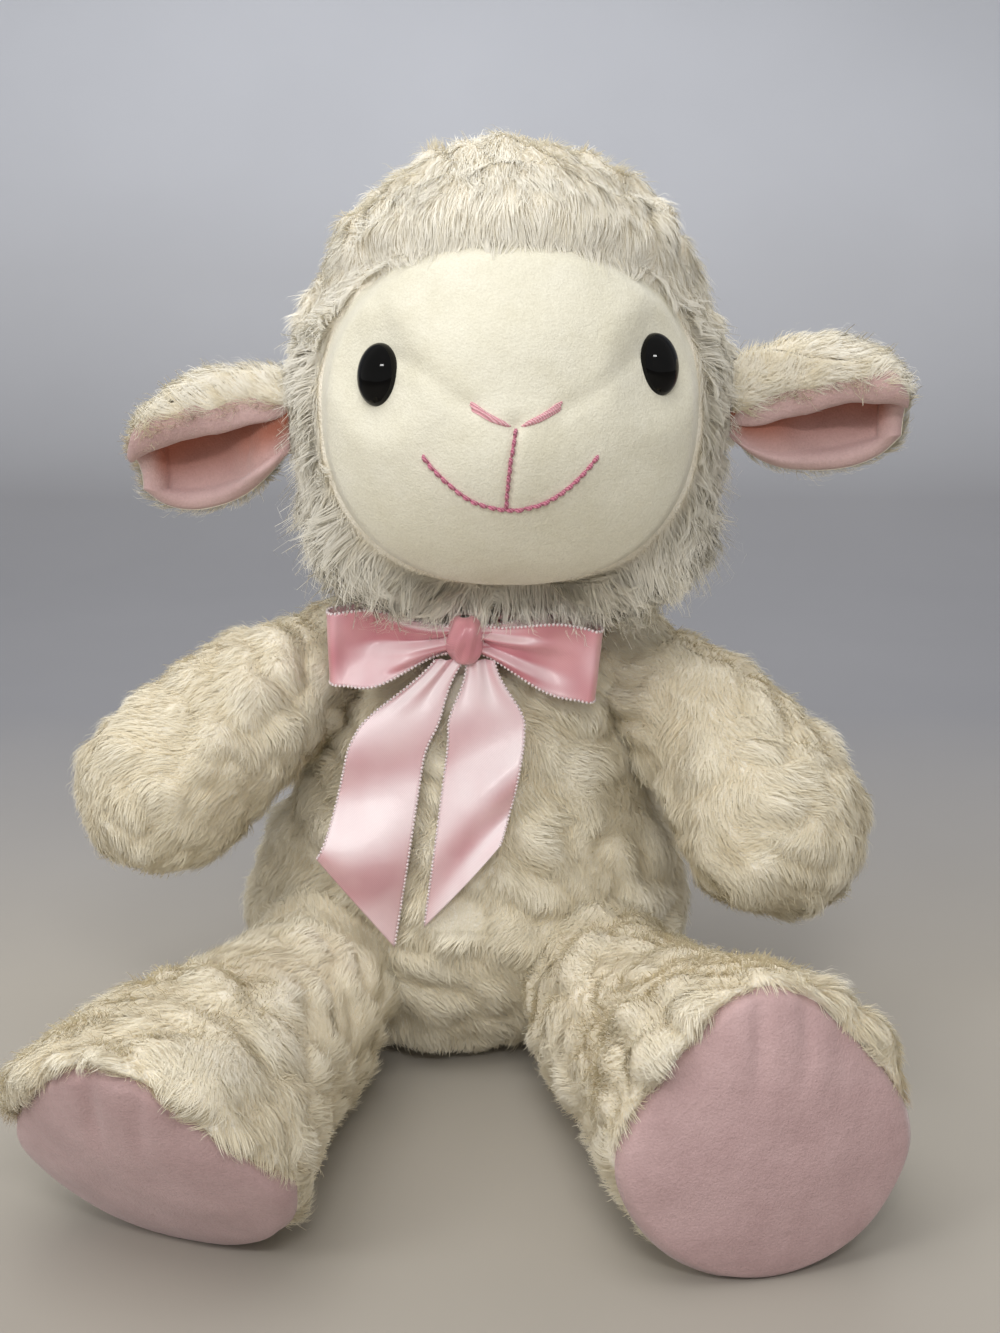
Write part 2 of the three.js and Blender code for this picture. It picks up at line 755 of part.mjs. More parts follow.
// A closed panel between two offsets of a surface, from a grid of spots on it.
function panel(spotAt, across, along, from, to) {
  const grid = [];
  const small = 1 / (along * across * 2);
  for (let i = 0; i <= along; i += 1) {
    for (let j = 0; j <= across; j += 1) {
      const u = i / along;
      const v = j / across;
      const du = spotAt(Math.min(u + small, 1), v).sub(spotAt(Math.max(u - small, 0), v));
      const dv = spotAt(u, Math.min(v + small, 1)).sub(spotAt(u, Math.max(v - small, 0)));
      grid.push({ spot: spotAt(u, v), normal: du.cross(dv).normalize() });
    }
  }
  const row = across + 1;
  const points = [from, to].flatMap((out) => grid.map((g) => g.spot.clone().addScaledVector(g.normal, out)));
  const faces = [];
  const quad = (a, b, c, d) => faces.push(a, b, c, a, c, d);
  const lower = (i, j) => i * row + j;
  const upper = (i, j) => grid.length + i * row + j;
  for (let i = 0; i < along; i += 1) {
    for (let j = 0; j < across; j += 1) {
      quad(upper(i, j), upper(i + 1, j), upper(i + 1, j + 1), upper(i, j + 1));
      quad(lower(i, j), lower(i, j + 1), lower(i + 1, j + 1), lower(i + 1, j));
    }
  }
  for (let i = 0; i < along; i += 1) {
    quad(lower(i, 0), lower(i + 1, 0), upper(i + 1, 0), upper(i, 0));
    quad(lower(i + 1, across), lower(i, across), upper(i, across), upper(i + 1, across));
  }
  for (let j = 0; j < across; j += 1) {
    quad(lower(0, j + 1), lower(0, j), upper(0, j), upper(0, j + 1));
    quad(lower(along, j), lower(along, j + 1), upper(along, j + 1), upper(along, j));
  }
  const geometry = new THREE.BufferGeometry();
  geometry.setAttribute('position', new THREE.Float32BufferAttribute(points.flatMap((p) => p.toArray()), 3));
  geometry.setIndex(faces);
  return toSolid(geometry);
}

function shareAt(table, u, column) {
  const last = table.length - 1;
  const place = u * last;
  const i = Math.min(Math.floor(place), last - 1);
  return THREE.MathUtils.lerp(table[i][column], table[i + 1][column], place - i);
}

// A mirror image about the YZ plane of the ear's root.
function mirrorX(solid) {
  return solid.scale([-1, 1, 1]);
}

function ear(side, sign, hang) {
  const tilt = THREE.MathUtils.degToRad(hang.tilt);
  const fall = Math.tan(THREE.MathUtils.degToRad(hang.droop));
  const sweep = THREE.MathUtils.degToRad(hang.sweep);
  const spotAt = (shrink) => (u, v) => {
    const out = shareAt(earShares, u, 0) * earLong * shrink;
    const half = (shareAt(earShares, u, 1) * earTall * shrink) / 2;
    const cup = shareAt(earShares, u, 2) * earCup;
    const arc = 2 * Math.atan(cup / half);
    const bend = half / Math.sin(arc);
    const turn = (2 * v - 1) * arc;
    const back = cup - bend * (1 - Math.cos(turn)) - earCup / 2;
    const rise = bend * Math.sin(turn);
    const share = shareAt(earShares, u, 0);
    const turned = tilt * Math.min(1, share / earTurnShare);
    const y = (back * Math.cos(turned) - rise * Math.sin(turned)) * share;
    const z = rise * Math.cos(turned) + back * Math.sin(turned);
    const spot = new THREE.Vector3(out, y, 0).applyAxisAngle(up, sweep * Math.min(1, share / earSweepShare));
    return spot.setZ(z - fall * out);
  };
  const rows = earShares.length - 1;
  const backPanel = panel(spotAt(1), earSteps, rows, -earPile, 0);
  const lining = panel(spotAt(1 - velour / earTall), earSteps, rows, liningLift, liningLift + velour);
  const trim = earCylinder(earRoll + gap, earTall * 2, ballSides);
  const roll = earCylinder(earRoll, earRollLong, ballSides / 2);
  const groove = earCylinder(earRoll + gap * 2, earRollLong + gap * 2, ballSides / 2);
  const root = earRoot(sign, hang.drop);
  const place = (solid) => (sign > 0 ? solid : mirrorX(solid)).translate(root.toArray());
  const back = roll.add(backPanel);
  return {
    groove: place(groove),
    nodes: [
      node(`${side}_ear_back`, place(back), 'fur'),
      node(`${side}_ear_lining`, place(lining.subtract(trim)), 'pink'),
    ],
  };
}

// An upright cylinder at the ear's root.
function earCylinder(radius, length, sides) {
  const geometry = new THREE.CylinderGeometry(radius, radius, length, sides);
  geometry.rotateX(Math.PI / 2);
  return toSolid(geometry);
}

// The middle of the ear's root roll, on the side of the head.
function earRoot(sign, drop) {
  const way = new THREE.Vector3(sign, 0, 0);
  way.y = -earBack / (headWidth / 2);
  way.z = -drop / (headWidth / 2);
  way.normalize();
  return headMiddle.clone().addScaledVector(way, headReach(way) + pile + earOut);
}

// Ribbon

function knotMiddle() {
  const middle = torsoAt(1 - bandTall / torsoHeight);
  middle.y -= collarRadius + gap + ribbonThick + gap + knotDeep / 2;
  middle.x = knotAside;
  return middle;
}

// The ribbon round the neck, under the bow.
function neckband() {
  const inner = (collarRadius + gap) / Math.cos(Math.PI / torsoSides);
  const top = torsoHeight;
  const low = top - bandTall;
  const geometry = new THREE.LatheGeometry([
    new THREE.Vector2(inner, low),
    new THREE.Vector2(inner + ribbonThick, low),
    new THREE.Vector2(inner + ribbonThick, top),
    new THREE.Vector2(inner, top),
    new THREE.Vector2(inner, low),
  ], torsoSides);
  geometry.rotateX(Math.PI / 2);
  geometry.translate(neckPoint.x, neckPoint.y, 0);
  return node('ribbon_neckband', toSolid(geometry), 'satin');
}

function knot() {
  const middle = knotMiddle();
  const geometry = new THREE.SphereGeometry(1, ballSides, ballRings);
  geometry.scale(knotWide / 2, knotDeep / 2, knotTall / 2);
  geometry.translate(middle.x, middle.y, middle.z);
  return node('ribbon_knot', toSolid(geometry), 'satin');
}

// The loop is a teardrop seen from above. It is pinched to part of the ribbon's width at the knot.
function bowLoop(side, sign, droop) {
  const outline = (inset) => {
    const shape = new THREE.Shape();
    const start = inset * 2;
    const end = loopLong - inset;
    const half = loopDeep / 2 - inset;
    const belly = loopLong * loopBellyShare;
    const swell = half * loopSwellShare;
    const round = half * loopRoundShare;
    shape.moveTo(start, 0);
    shape.bezierCurveTo(loopLong / 3, -half, belly, -swell, end - half / 2, -round);
    shape.bezierCurveTo(end, -half / 2, end, half / 2, end - half / 2, round);
    shape.bezierCurveTo(belly, swell, loopLong / 3, half, start, 0);
    return shape;
  };
  const options = { depth: ribbonWide, bevelEnabled: false, curveSegments: loopSteps };
  const outer = new THREE.ExtrudeGeometry(outline(0), options);
  const inner = new THREE.ExtrudeGeometry(outline(ribbonThick), { ...options, depth: ribbonWide + 2 * gap });
  outer.translate(0, 0, -ribbonWide / 2);
  inner.translate(0, 0, -ribbonWide / 2 - gap);
  const pinch = (ribbonWide / 2) * loopPinch;
  const wedge = new THREE.Shape();
  wedge.moveTo(0, -pinch);
  wedge.lineTo(loopLong * loopFlareShare, -ribbonWide / 2 - gap);
  wedge.lineTo(loopLong + gap, -ribbonWide / 2 - gap);
  wedge.lineTo(loopLong + gap, ribbonWide / 2 + gap);
  wedge.lineTo(loopLong * loopFlareShare, ribbonWide / 2 + gap);
  wedge.lineTo(0, pinch);
  const flare = new THREE.ExtrudeGeometry(wedge, { depth: loopDeep * 2, bevelEnabled: false });
  flare.translate(0, 0, -loopDeep);
  flare.rotateX(Math.PI / 2);
  const loop = toSolid(outer).subtract(toSolid(inner)).intersect(toSolid(flare)).rotate([0, droop, 0]);
  const start = knotMiddle();
  start.x += sign * (knotWide / 2 + gap);
  const placed = (sign > 0 ? loop : mirrorX(loop)).translate(start.toArray());
  return node(`${side}_bow_loop`, placed, 'satin');
}

// The tail hangs from here, and swings forward about it.
function tailTop(sign) {
  const start = knotMiddle();
  start.z -= knotTall / 2 + gap * 2;
  start.x += sign * (tailPinch / 2 + gap);
  return start;
}

// A tail hangs from under the knot, widens from its pinch and ends in a slanted cut.
function ribbonTail(side, sign, tail) {
  const start = tailTop(sign);
  const spotAt = (u, v) => {
    const open = THREE.MathUtils.smoothstep(u, 0, tailOpenShare);
    const half = THREE.MathUtils.lerp(tailPinch, ribbonWide, open) / 2;
    const cut = THREE.MathUtils.lerp(0, tail.cut, (sign > 0 ? v : 1 - v) * u ** tailCutPower);
    const drop = tail.drop * u - cut;
    const spread = Math.sin((Math.PI / 2) * Math.min(u / tailSpreadShare, 1));
    const middle = sign * tail.spread * spread + tail.aside * u;
    const lean = tailLean * Math.sin((Math.PI / 2) * u);
    return start.clone().add(new THREE.Vector3(middle + (2 * v - 1) * half, -lean, -drop));
  };
  return node(`${side}_ribbon_tail`, panel(spotAt, tailStrips, tailSteps, 0, ribbonThick), 'satin');
}

const sheep = new THREE.Group();
const leftArm = arm('left', 1, leftReach);
const rightArm = arm('right', -1, rightReach);
const leftLeg = leg('left', 1, leftKnee, leftAnkle, leftSole);
const rightLeg = leg('right', -1, rightKnee, rightAnkle, rightSole);
const ears = [ear('left', 1, leftEar), ear('right', -1, rightEar)];
sheep.add(...torso([leftArm, rightArm, leftLeg, rightLeg]));
sheep.add(...armNodes(leftArm), ...armNodes(rightArm));
sheep.add(...legNodes(leftLeg), ...legNodes(rightLeg));
sheep.add(...neckNodes(), ...headNodes(ears));
for (const one of ears) sheep.add(...one.nodes);
sheep.add(neckband(), knot(), bowLoop('left', 1, leftLoopDroop), bowLoop('right', -1, rightLoopDroop));
sheep.add(ribbonTail('left', 1, leftTail), ribbonTail('right', -1, rightTail));

export default sheep;
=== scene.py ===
import math

import bpy
import numpy as np
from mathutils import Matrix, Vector, noise
from mathutils.kdtree import KDTree


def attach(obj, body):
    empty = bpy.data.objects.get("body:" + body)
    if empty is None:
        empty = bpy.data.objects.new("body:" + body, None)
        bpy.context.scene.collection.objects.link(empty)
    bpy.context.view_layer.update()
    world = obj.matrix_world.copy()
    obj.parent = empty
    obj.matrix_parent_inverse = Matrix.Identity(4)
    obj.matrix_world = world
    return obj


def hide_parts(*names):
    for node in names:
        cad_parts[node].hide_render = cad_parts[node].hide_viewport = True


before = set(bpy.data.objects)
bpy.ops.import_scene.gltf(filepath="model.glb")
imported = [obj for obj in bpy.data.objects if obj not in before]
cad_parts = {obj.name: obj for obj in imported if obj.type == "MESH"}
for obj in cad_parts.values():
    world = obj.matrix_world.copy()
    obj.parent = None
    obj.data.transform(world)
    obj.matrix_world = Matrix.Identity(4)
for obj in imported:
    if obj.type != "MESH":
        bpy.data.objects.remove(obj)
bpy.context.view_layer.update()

# Lengths in this file are millimetres until a mesh is made. MM turns them into metres.
MM = 0.001
UP = np.array([0.0, 0.0, 1.0])


# Camera, light and floor

def make_camera():
    data = bpy.data.cameras.new("camera")
    data.lens = 48.0
    data.sensor_width = 36.0
    camera = bpy.data.objects.new("camera", data)
    bpy.context.scene.collection.objects.link(camera)
    camera.location = (0.014, -0.585, 0.296)
    camera.rotation_euler = (math.radians(90 - 16.5), 0, 0)
    bpy.context.scene.camera = camera


def add_lamp(name, place, aim, size, power, colour, mirrored=True):
    data = bpy.data.lights.new(name, "AREA")
    data.shape = "RECTANGLE"
    data.size, data.size_y = size
    data.energy = power
    data.color = colour
    lamp = bpy.data.objects.new(name, data)
    bpy.context.scene.collection.objects.link(lamp)
    lamp.location = place
    lamp.rotation_euler = (Vector(aim) - Vector(place)).to_track_quat("-Z", "Y").to_euler()
    lamp.visible_glossy = mirrored


def light_up():
    add_lamp("key", (-0.22, -0.3, 1.2), (0, -0.05, 0.15), (0.9, 0.7), 5.3, (1, 0.99, 0.965), False)
    add_lamp("side", (-0.62, -0.62, 0.62), (-0.03, -0.05, 0.24), (0.3, 0.3), 2.2, (1, 0.99, 0.975), False)
    add_lamp("front", (0.05, -0.8, 0.72), (0.01, -0.08, 0.2), (0.26, 0.06), 2.0, (1, 0.99, 0.975))
    add_lamp("rim", (0.2, 0.7, 0.9), (0, 0, 0.2), (0.9, 0.5), 4, (0.98, 0.98, 1), False)
    world = bpy.data.worlds.new("world")
    world.use_nodes = True
    world.node_tree.nodes["Background"].inputs["Color"].default_value = (0.90, 0.895, 0.885, 1)
    world.node_tree.nodes["Background"].inputs["Strength"].default_value = 0.54
    bpy.context.scene.world = world
    bpy.context.scene.view_settings.view_transform = "Standard"


# Materials

def material(name, roughness, sheen=0.0):
    """A new material, with its node tree and its main shader."""
    made = bpy.data.materials.new(name)
    made.use_nodes = True
    tree = made.node_tree
    shader = tree.nodes["Principled BSDF"]
    shader.inputs["Roughness"].default_value = roughness
    shader.inputs["Sheen Weight"].default_value = sheen
    return made, tree, shader


def add(tree, kind, **values):
    node = tree.nodes.new("ShaderNode" + kind)
    for key, value in values.items():
        if hasattr(node, key):
            setattr(node, key, value)
        else:
            node.inputs[key.replace("_", " ")].default_value = value
    return node


def ramp(tree, source, stops):
    node = tree.nodes.new("ShaderNodeValToRGB")
    tree.links.new(source, node.inputs["Fac"])
    line = node.color_ramp
    while len(line.elements) < len(stops):
        line.elements.new(0.5)
    for element, (place, colour) in zip(line.elements, stops):
        element.position = place
        element.color = (*colour, 1)
    return node.outputs["Color"]


def noise_on(tree, source, scale, detail=2.0, rough=0.5):
    node = add(tree, "TexNoise", Scale=scale, Detail=detail, Roughness=rough)
    tree.links.new(source, node.inputs["Vector"])
    return node.outputs["Fac"]


def mix_colour(tree, kind, factor, a, b):
    node = tree.nodes.new("ShaderNodeMix")
    node.data_type = "RGBA"
    node.blend_type = kind
    wanted = [(0, factor), (6, a), (7, b)]
    for index, value in wanted:
        if isinstance(value, (float, tuple)):
            node.inputs[index].default_value = (*value, 1) if isinstance(value, tuple) else value
        else:
            tree.links.new(value, node.inputs[index])
    return node.outputs[2]


def paint(tree, shader, colour):
    tree.links.new(colour, shader.inputs["Base Color"])


def bump(tree, shader, height, distance, strength=1.0):
    node = add(tree, "Bump", Strength=strength, Distance=distance)
    tree.links.new(height, node.inputs["Height"])
    if shader.inputs["Normal"].links:
        tree.links.new(shader.inputs["Normal"].links[0].from_socket, node.inputs["Normal"])
    tree.links.new(node.outputs["Normal"], shader.inputs["Normal"])


def place_of(tree):
    return tree.nodes.new("ShaderNodeTexCoord").outputs["Object"]


def pile_material():
    """Strands of the long pile, with painted shade: warm and darker at the root and in the creases,
    pale at the tip and on the crests.
    """
    made, tree, shader = material("pile", 0.75)
    shader.inputs["Specular IOR Level"].default_value = 0.1
    lay = add(tree, "UVMap", uv_map="OFBake")
    split = tree.nodes.new("ShaderNodeSeparateXYZ")
    tree.links.new(lay.outputs["UV"], split.inputs["Vector"])
    # Painted shade deep in the pile: warmer and darker at the root than at the tip.
    along = ramp(tree, split.outputs["Y"], [
        (0.0, (0.94, 0.88, 0.745)), (0.35, (0.96, 0.915, 0.80)),
        (0.7, (0.968, 0.935, 0.84)), (1.0, (0.97, 0.945, 0.86))])
    # Painted shade in the creases between tufts: the UV map's x carries a tint that is warm and dark in the
    # creases and white on the crests.
    painted_crease_shade = ramp(tree, split.outputs["X"], [
        (0.0, (0.86, 0.785, 0.64)), (0.25, (0.925, 0.89, 0.80)),
        (0.55, (0.985, 0.97, 0.935)), (1.0, (1, 1, 1))])
    paint(tree, shader, mix_colour(tree, "MULTIPLY", 1.0, along, painted_crease_shade))
    return made


def backing_material():
    """The knitted ground of the furry fabric, seen only between the locks."""
    made, tree, shader = material("backing", 0.9)
    place = place_of(tree)
    colour = ramp(tree, noise_on(tree, place, 300.0, 3.0),
                  [(0.3, (0.92, 0.855, 0.72)), (0.7, (0.955, 0.905, 0.79))])
    paint(tree, shader, colour)
    bump(tree, shader, noise_on(tree, place, 900.0, 2.0), 0.0006)
    return made


def velour_material(name, dark, light, nap, hollow_shade=None):
    """Short-napped fabric, brushed this way and that, with painted shade that darkens it where its
    mesh marks it as hollow.
    """
    made, tree, shader = material(name, 0.85, 0.35)
    shader.inputs["Sheen Roughness"].default_value = 0.45
    shader.inputs["Specular IOR Level"].default_value = 0.2
    place = place_of(tree)
    brushed = noise_on(tree, place, 55.0, 4.0, 0.6)
    speckle = noise_on(tree, place, 1500.0, 2.0, 0.6)
    broad = ramp(tree, brushed, [(0.32, dark), (0.66, light)])
    fine = ramp(tree, speckle, [(0.3, (0.86, 0.85, 0.83)), (0.7, (1, 1, 1))])
    colour = mix_colour(tree, "MULTIPLY", 0.75, broad, fine)
    # Painted shade: a colour multiplied in where the mesh's attribute marks a hollow.
    if hollow_shade:
        depth = add(tree, "Attribute", attribute_name="hollow_shade")
        shade = ramp(tree, depth.outputs["Fac"], [(0.0, (1, 1, 1)), (1.0, hollow_shade)])
        colour = mix_colour(tree, "MULTIPLY", 1.0, colour, shade)
    paint(tree, shader, colour)
    bump(tree, shader, speckle, nap)
    bump(tree, shader, noise_on(tree, place, 320.0, 3.0), nap * 1.2)
    return made


def satin_material(name, dark, light):
    """Woven satin, with a painted highlight that makes it palest where a fold turns up to the light."""
    made, tree, shader = material(name, 0.3, 0.2)
    shader.inputs["Anisotropic"].default_value = 0.5
    shader.inputs["Specular IOR Level"].default_value = 1.0
    place = place_of(tree)
    broad = ramp(tree, noise_on(tree, place, 55.0, 1.5), [(0.36, dark), (0.66, light)])
    weave = add(tree, "TexWave", wave_type="BANDS", bands_direction="DIAGONAL", Scale=900.0, Distortion=0.6)
    tree.links.new(place, weave.inputs["Vector"])
    fine = ramp(tree, weave.outputs["Fac"], [(0.0, (0.90, 0.88, 0.89)), (1.0, (1, 1, 1))])
    # Painted highlight: near-white pink mixed in where the mesh's attribute says a fold faces up to the
    # light.
    painted_highlight = add(tree, "Attribute", attribute_name="painted_highlight")
    colour = mix_colour(tree, "MIX", painted_highlight.outputs["Fac"], broad, (0.985, 0.90, 0.915))
    paint(tree, shader, mix_colour(tree, "MULTIPLY", 0.8, colour, fine))
    bump(tree, shader, weave.outputs["Fac"], 0.00005, 0.5)
    bump(tree, shader, noise_on(tree, place, 160.0, 2.0), 0.0004, 0.4)
    return made


def thread_material(name, dark, light, roughness=0.45):
    made, tree, shader = material(name, roughness, 0.3)
    place = place_of(tree)
    twist = add(tree, "TexWave", wave_type="BANDS", bands_direction="DIAGONAL", Scale=520.0, Distortion=1.0)
    tree.links.new(place, twist.inputs["Vector"])
    colour = ramp(tree, twist.outputs["Fac"], [(0.1, dark), (0.8, light)])
    paint(tree, shader, colour)
    bump(tree, shader, twist.outputs["Fac"], 0.00025)
    return made


def eye_material():
    made, tree, shader = material("eye_gloss", 0.04)
    place = place_of(tree)
    colour = ramp(tree, noise_on(tree, place, 400.0, 2.0),
                  [(0.3, (0.0012, 0.0011, 0.0011)), (0.7, (0.0025, 0.0022, 0.0022))])
    paint(tree, shader, colour)
    shader.inputs["Specular IOR Level"].default_value = 0.2
    return made


def plain_material(name, dark, light, scale, roughness):
    made, tree, shader = material(name, roughness)
    place = place_of(tree)
    spread = noise_on(tree, place, scale, 3.0)
    paint(tree, shader, ramp(tree, spread, [(0.3, dark), (0.7, light)]))
    bump(tree, shader, spread, 0.0003, 0.5)
    return made


def floor_material():
    """A pale warm floor that turns to a cool grey wall behind. Painted shade darkens it behind the toy,
    and painted light makes it paler towards its top.
    """
    made, tree, shader = material("floor", 0.7)
    place = place_of(tree)
    split = tree.nodes.new("ShaderNodeSeparateXYZ")
    tree.links.new(place, split.inputs["Vector"])
    back = add(tree, "MapRange", From_Min=0.0, From_Max=1.1)
    tree.links.new(split.outputs["Y"], back.inputs["Value"])
    # Painted shade and light: darker behind the toy, then paler as the sweep rises into the wall.
    level = ramp(tree, back.outputs["Result"], [
        (0.0, (0.40, 0.37, 0.325)), (0.12, (0.34, 0.325, 0.31)), (0.3, (0.27, 0.27, 0.285)),
        (0.7, (0.28, 0.28, 0.295)), (0.9, (0.52, 0.53, 0.565)), (1.0, (0.70, 0.725, 0.79))])
    grain = ramp(tree, noise_on(tree, place, 7.0, 3.0), [(0.3, (0.96, 0.96, 0.96)), (0.7, (1, 1, 1))])
    paint(tree, shader, mix_colour(tree, "MULTIPLY", 1.0, level, grain))
    return made


# Mesh building

def make_mesh(name, points, quads, tris=(), uv=None, normals=None):
    """An object from points in mm and faces as index arrays. uv and normals have a row for each point."""
    points = np.asarray(points, np.float32).reshape(-1, 3) * MM
    quads = np.asarray(quads, np.int32).reshape(-1, 4)
    tris = np.asarray(tris, np.int32).reshape(-1, 3)
    mesh = bpy.data.meshes.new(name)
    mesh.vertices.add(len(points))
    mesh.vertices.foreach_set("co", points.ravel())
    corners = np.concatenate([quads.ravel(), tris.ravel()])
    mesh.loops.add(len(corners))
    mesh.loops.foreach_set("vertex_index", corners)
    starts = np.concatenate([np.arange(len(quads)) * 4, len(quads) * 4 + np.arange(len(tris)) * 3])
    mesh.polygons.add(len(starts))
    mesh.polygons.foreach_set("loop_start", starts.astype(np.int32))
    mesh.polygons.foreach_set("use_smooth", np.ones(len(starts), bool))
    if uv is not None:
        layer = mesh.uv_layers.new(name="OFBake")
        layer.data.foreach_set("uv", np.asarray(uv, np.float32)[corners].ravel())
    mesh.update(calc_edges=True)
    if normals is not None:
        own = mesh.attributes.new("custom_normal", "FLOAT_VECTOR", "POINT")
        own.data.foreach_set("vector", np.asarray(normals, np.float32).ravel())
    made = bpy.data.objects.new(name, mesh)
    bpy.context.scene.collection.objects.link(made)
    return made


def grid_quads(rows, columns, wrap, start=0):
    """Quads of a grid of points. wrap joins the last column to the first."""
    i = np.arange(rows - 1)[:, None]
    j = np.arange(columns if wrap else columns - 1)[None, :]
    k = (j + 1) % columns
    a = i * columns + j
    b = i * columns + k
    quads = np.stack([a, b, b + columns, a + columns], -1).reshape(-1, 4)
    return quads + start


def outward(points, normals, towards=None):
    """1 or -1: the sign that makes the normals point outwards, or towards a given way."""
    way = points - points.mean(0) if towards is None else np.asarray(towards)
    return 1.0 if (normals * way).sum() > 0 else -1.0


def grid_object(name, grid, wrap=False):
    rows, columns = grid.shape[:2]
    points = grid.reshape(-1, 3)
    quads = grid_quads(rows, columns, wrap)
    a, b, c = points[quads[:, 0]], points[quads[:, 1]], points[quads[:, 2]]
    if outward((a + c) / 2, np.cross(b - a, c - a)) < 0:
        quads = quads[:, ::-1]
    return make_mesh(name, points, quads)


def grid_normals(grid, wrap):
    """Unit normals of a grid of points, on the side to which row x column turns."""
    if wrap:
        across = np.roll(grid, -1, 1) - np.roll(grid, 1, 1)
    else:
        across = np.gradient(grid, axis=1)
    along = np.gradient(grid, axis=0)
    normal = np.cross(across, along)
    length = np.linalg.norm(normal, axis=2, keepdims=True)
    thin = length[..., 0] < 1e-9
    normal = normal / np.maximum(length, 1e-12)
    # A pole takes the mean of the row beside it.
    for row, beside in ((0, 1), (-1, -2)):
        if thin[row].any():
            mean = normal[beside].mean(0)
            normal[row] = mean / max(np.linalg.norm(mean), 1e-9)
    return normal


def around(count):
    """Angles in even steps round a circle."""
    return np.linspace(0, 2 * math.pi, count, endpoint=False)


def bearings(polar, turn):
    """A grid of unit vectors, by their angles from straight up and round."""
    out, up = np.sin(polar)[:, None], np.cos(polar)[:, None]
    return np.stack([out * np.cos(turn), out * np.sin(turn), up + 0 * turn], -1)


def unit(v):
    return v / np.maximum(np.linalg.norm(v, axis=-1, keepdims=True), 1e-12)


def smoothstep(x, low, high):
    t = np.clip((x - low) / (high - low), 0, 1)
    return t * t * (3 - 2 * t)


def through_table(table, x):
    """A smooth curve through the rows of a table, whose first column is the place along it."""
    table = np.asarray(table, float)
    places, values = table[:, 0], table[:, 1:]
    slope = np.gradient(values, places, axis=0)
    i = np.clip(np.searchsorted(places, x, side="right") - 1, 0, len(places) - 2)
    span = (places[i + 1] - places[i])[:, None]
    f = (x - places[i])[:, None] / span
    return ((2 * f**3 - 3 * f**2 + 1) * values[i] + (f**3 - 2 * f**2 + f) * span * slope[i]
            + (3 * f**2 - 2 * f**3) * values[i + 1] + (f**3 - f**2) * span * slope[i + 1])


def centripetal(points, count):
    """Evenly spaced points on the centripetal curve through some points, and its tangents."""
    points = [np.asarray(p, float) for p in points]
    points = [2 * points[0] - points[1], *points, 2 * points[-1] - points[-2]]
    fine = []
    for a, b, c, d in zip(points, points[1:], points[2:], points[3:]):
        t1 = np.linalg.norm(b - a) ** 0.5
        t2 = t1 + np.linalg.norm(c - b) ** 0.5
        t3 = t2 + np.linalg.norm(d - c) ** 0.5
        t = np.linspace(t1, t2, 60)[:, None]
        ab = (t1 - t) / t1 * a + t / t1 * b
        bc = (t2 - t) / (t2 - t1) * b + (t - t1) / (t2 - t1) * c
        cd = (t3 - t) / (t3 - t2) * c + (t - t2) / (t3 - t2) * d
        abc = (t2 - t) / t2 * ab + t / t2 * bc
        bcd = (t3 - t) / (t3 - t1) * bc + (t - t1) / (t3 - t1) * cd
        fine.append((t2 - t) / (t2 - t1) * abc + (t - t1) / (t2 - t1) * bcd)
    fine = np.concatenate(fine)
    steps = np.linalg.norm(np.diff(fine, axis=0), axis=1)
    length = np.concatenate([[0], np.cumsum(steps)])
    wanted = np.linspace(0, length[-1], count)
    even = np.stack([np.interp(wanted, length, fine[:, k]) for k in range(3)], 1)
    return even, unit(np.gradient(even, axis=0))


def lumps(points, size, seed):
    """Smooth noise from -1 to 1 at each point, with lumps of about that size in mm."""
    flat = np.asarray(points).reshape(-1, 3) / size
    value = [noise.noise(Vector((p[0] + seed, p[1], p[2]))) for p in flat]
    return np.array(value).reshape(np.asarray(points).shape[:-1])


# Forms, as in the CAD

TORSO_HEIGHT, TORSO_WIDTH, TORSO_DEPTH = 152, 145, 122
NECK = np.array([9.0, -8.0, 152.3])
NECK_BALL, NECKBAND, OVER_BALL = 24, 31.4, 0.9
HEAD = np.array([17.0, -25.0, 223.8])
HEAD_WIDE, HEAD_DEEP, HEAD_TALL = 61.5, 52.5, 62
FACE_WIDE, FACE_TALL, FACE_DROP = 57, 52, 8.5
FACE_POWERS = 2.4, 2.05
ARM_OUT, ARM_BACK, ARM_HIGH, ARM_LONG = 46, 2, 126, 78
ARM_BALL, ARM_WIDE, ARM_BULGE = 20, 54, 27
HIP, KNEE_HIGH, ANKLE_HIGH = (42, -43, 33), 29.5, 36
LEG_BALL, LEG_WIDE, LEG_TALL, LEG_BULGE = 25, 83, 84, 11
EAR_LONG, EAR_TALL, EAR_DEEP, EAR_OUT = 54, 42, 20, 67.5
SOLE_WIDE, SOLE_UP, SOLE_DOWN = 42, 39, 42
RIBBON, SATIN = 24, 0.35
PICOT_RADIUS, PICOT_PITCH, STITCH_PITCH = 0.55, 1.3, 2.6
FABRIC_IN, FLOOR_GAP = 0.8, 0.6
TORSO_SHARES = [
    (0, 0.66, 0.7), (0.055, 0.86, 0.87), (0.16, 0.98, 0.98), (0.28, 1, 1),
    (0.39, 0.96, 0.98), (0.5, 0.87, 0.93), (0.62, 0.78, 0.84), (0.74, 0.69, 0.74),
    (0.84, 0.6, 0.64), (0.94, 0.45, 0.5), (0.985, 0.41, 0.46)]


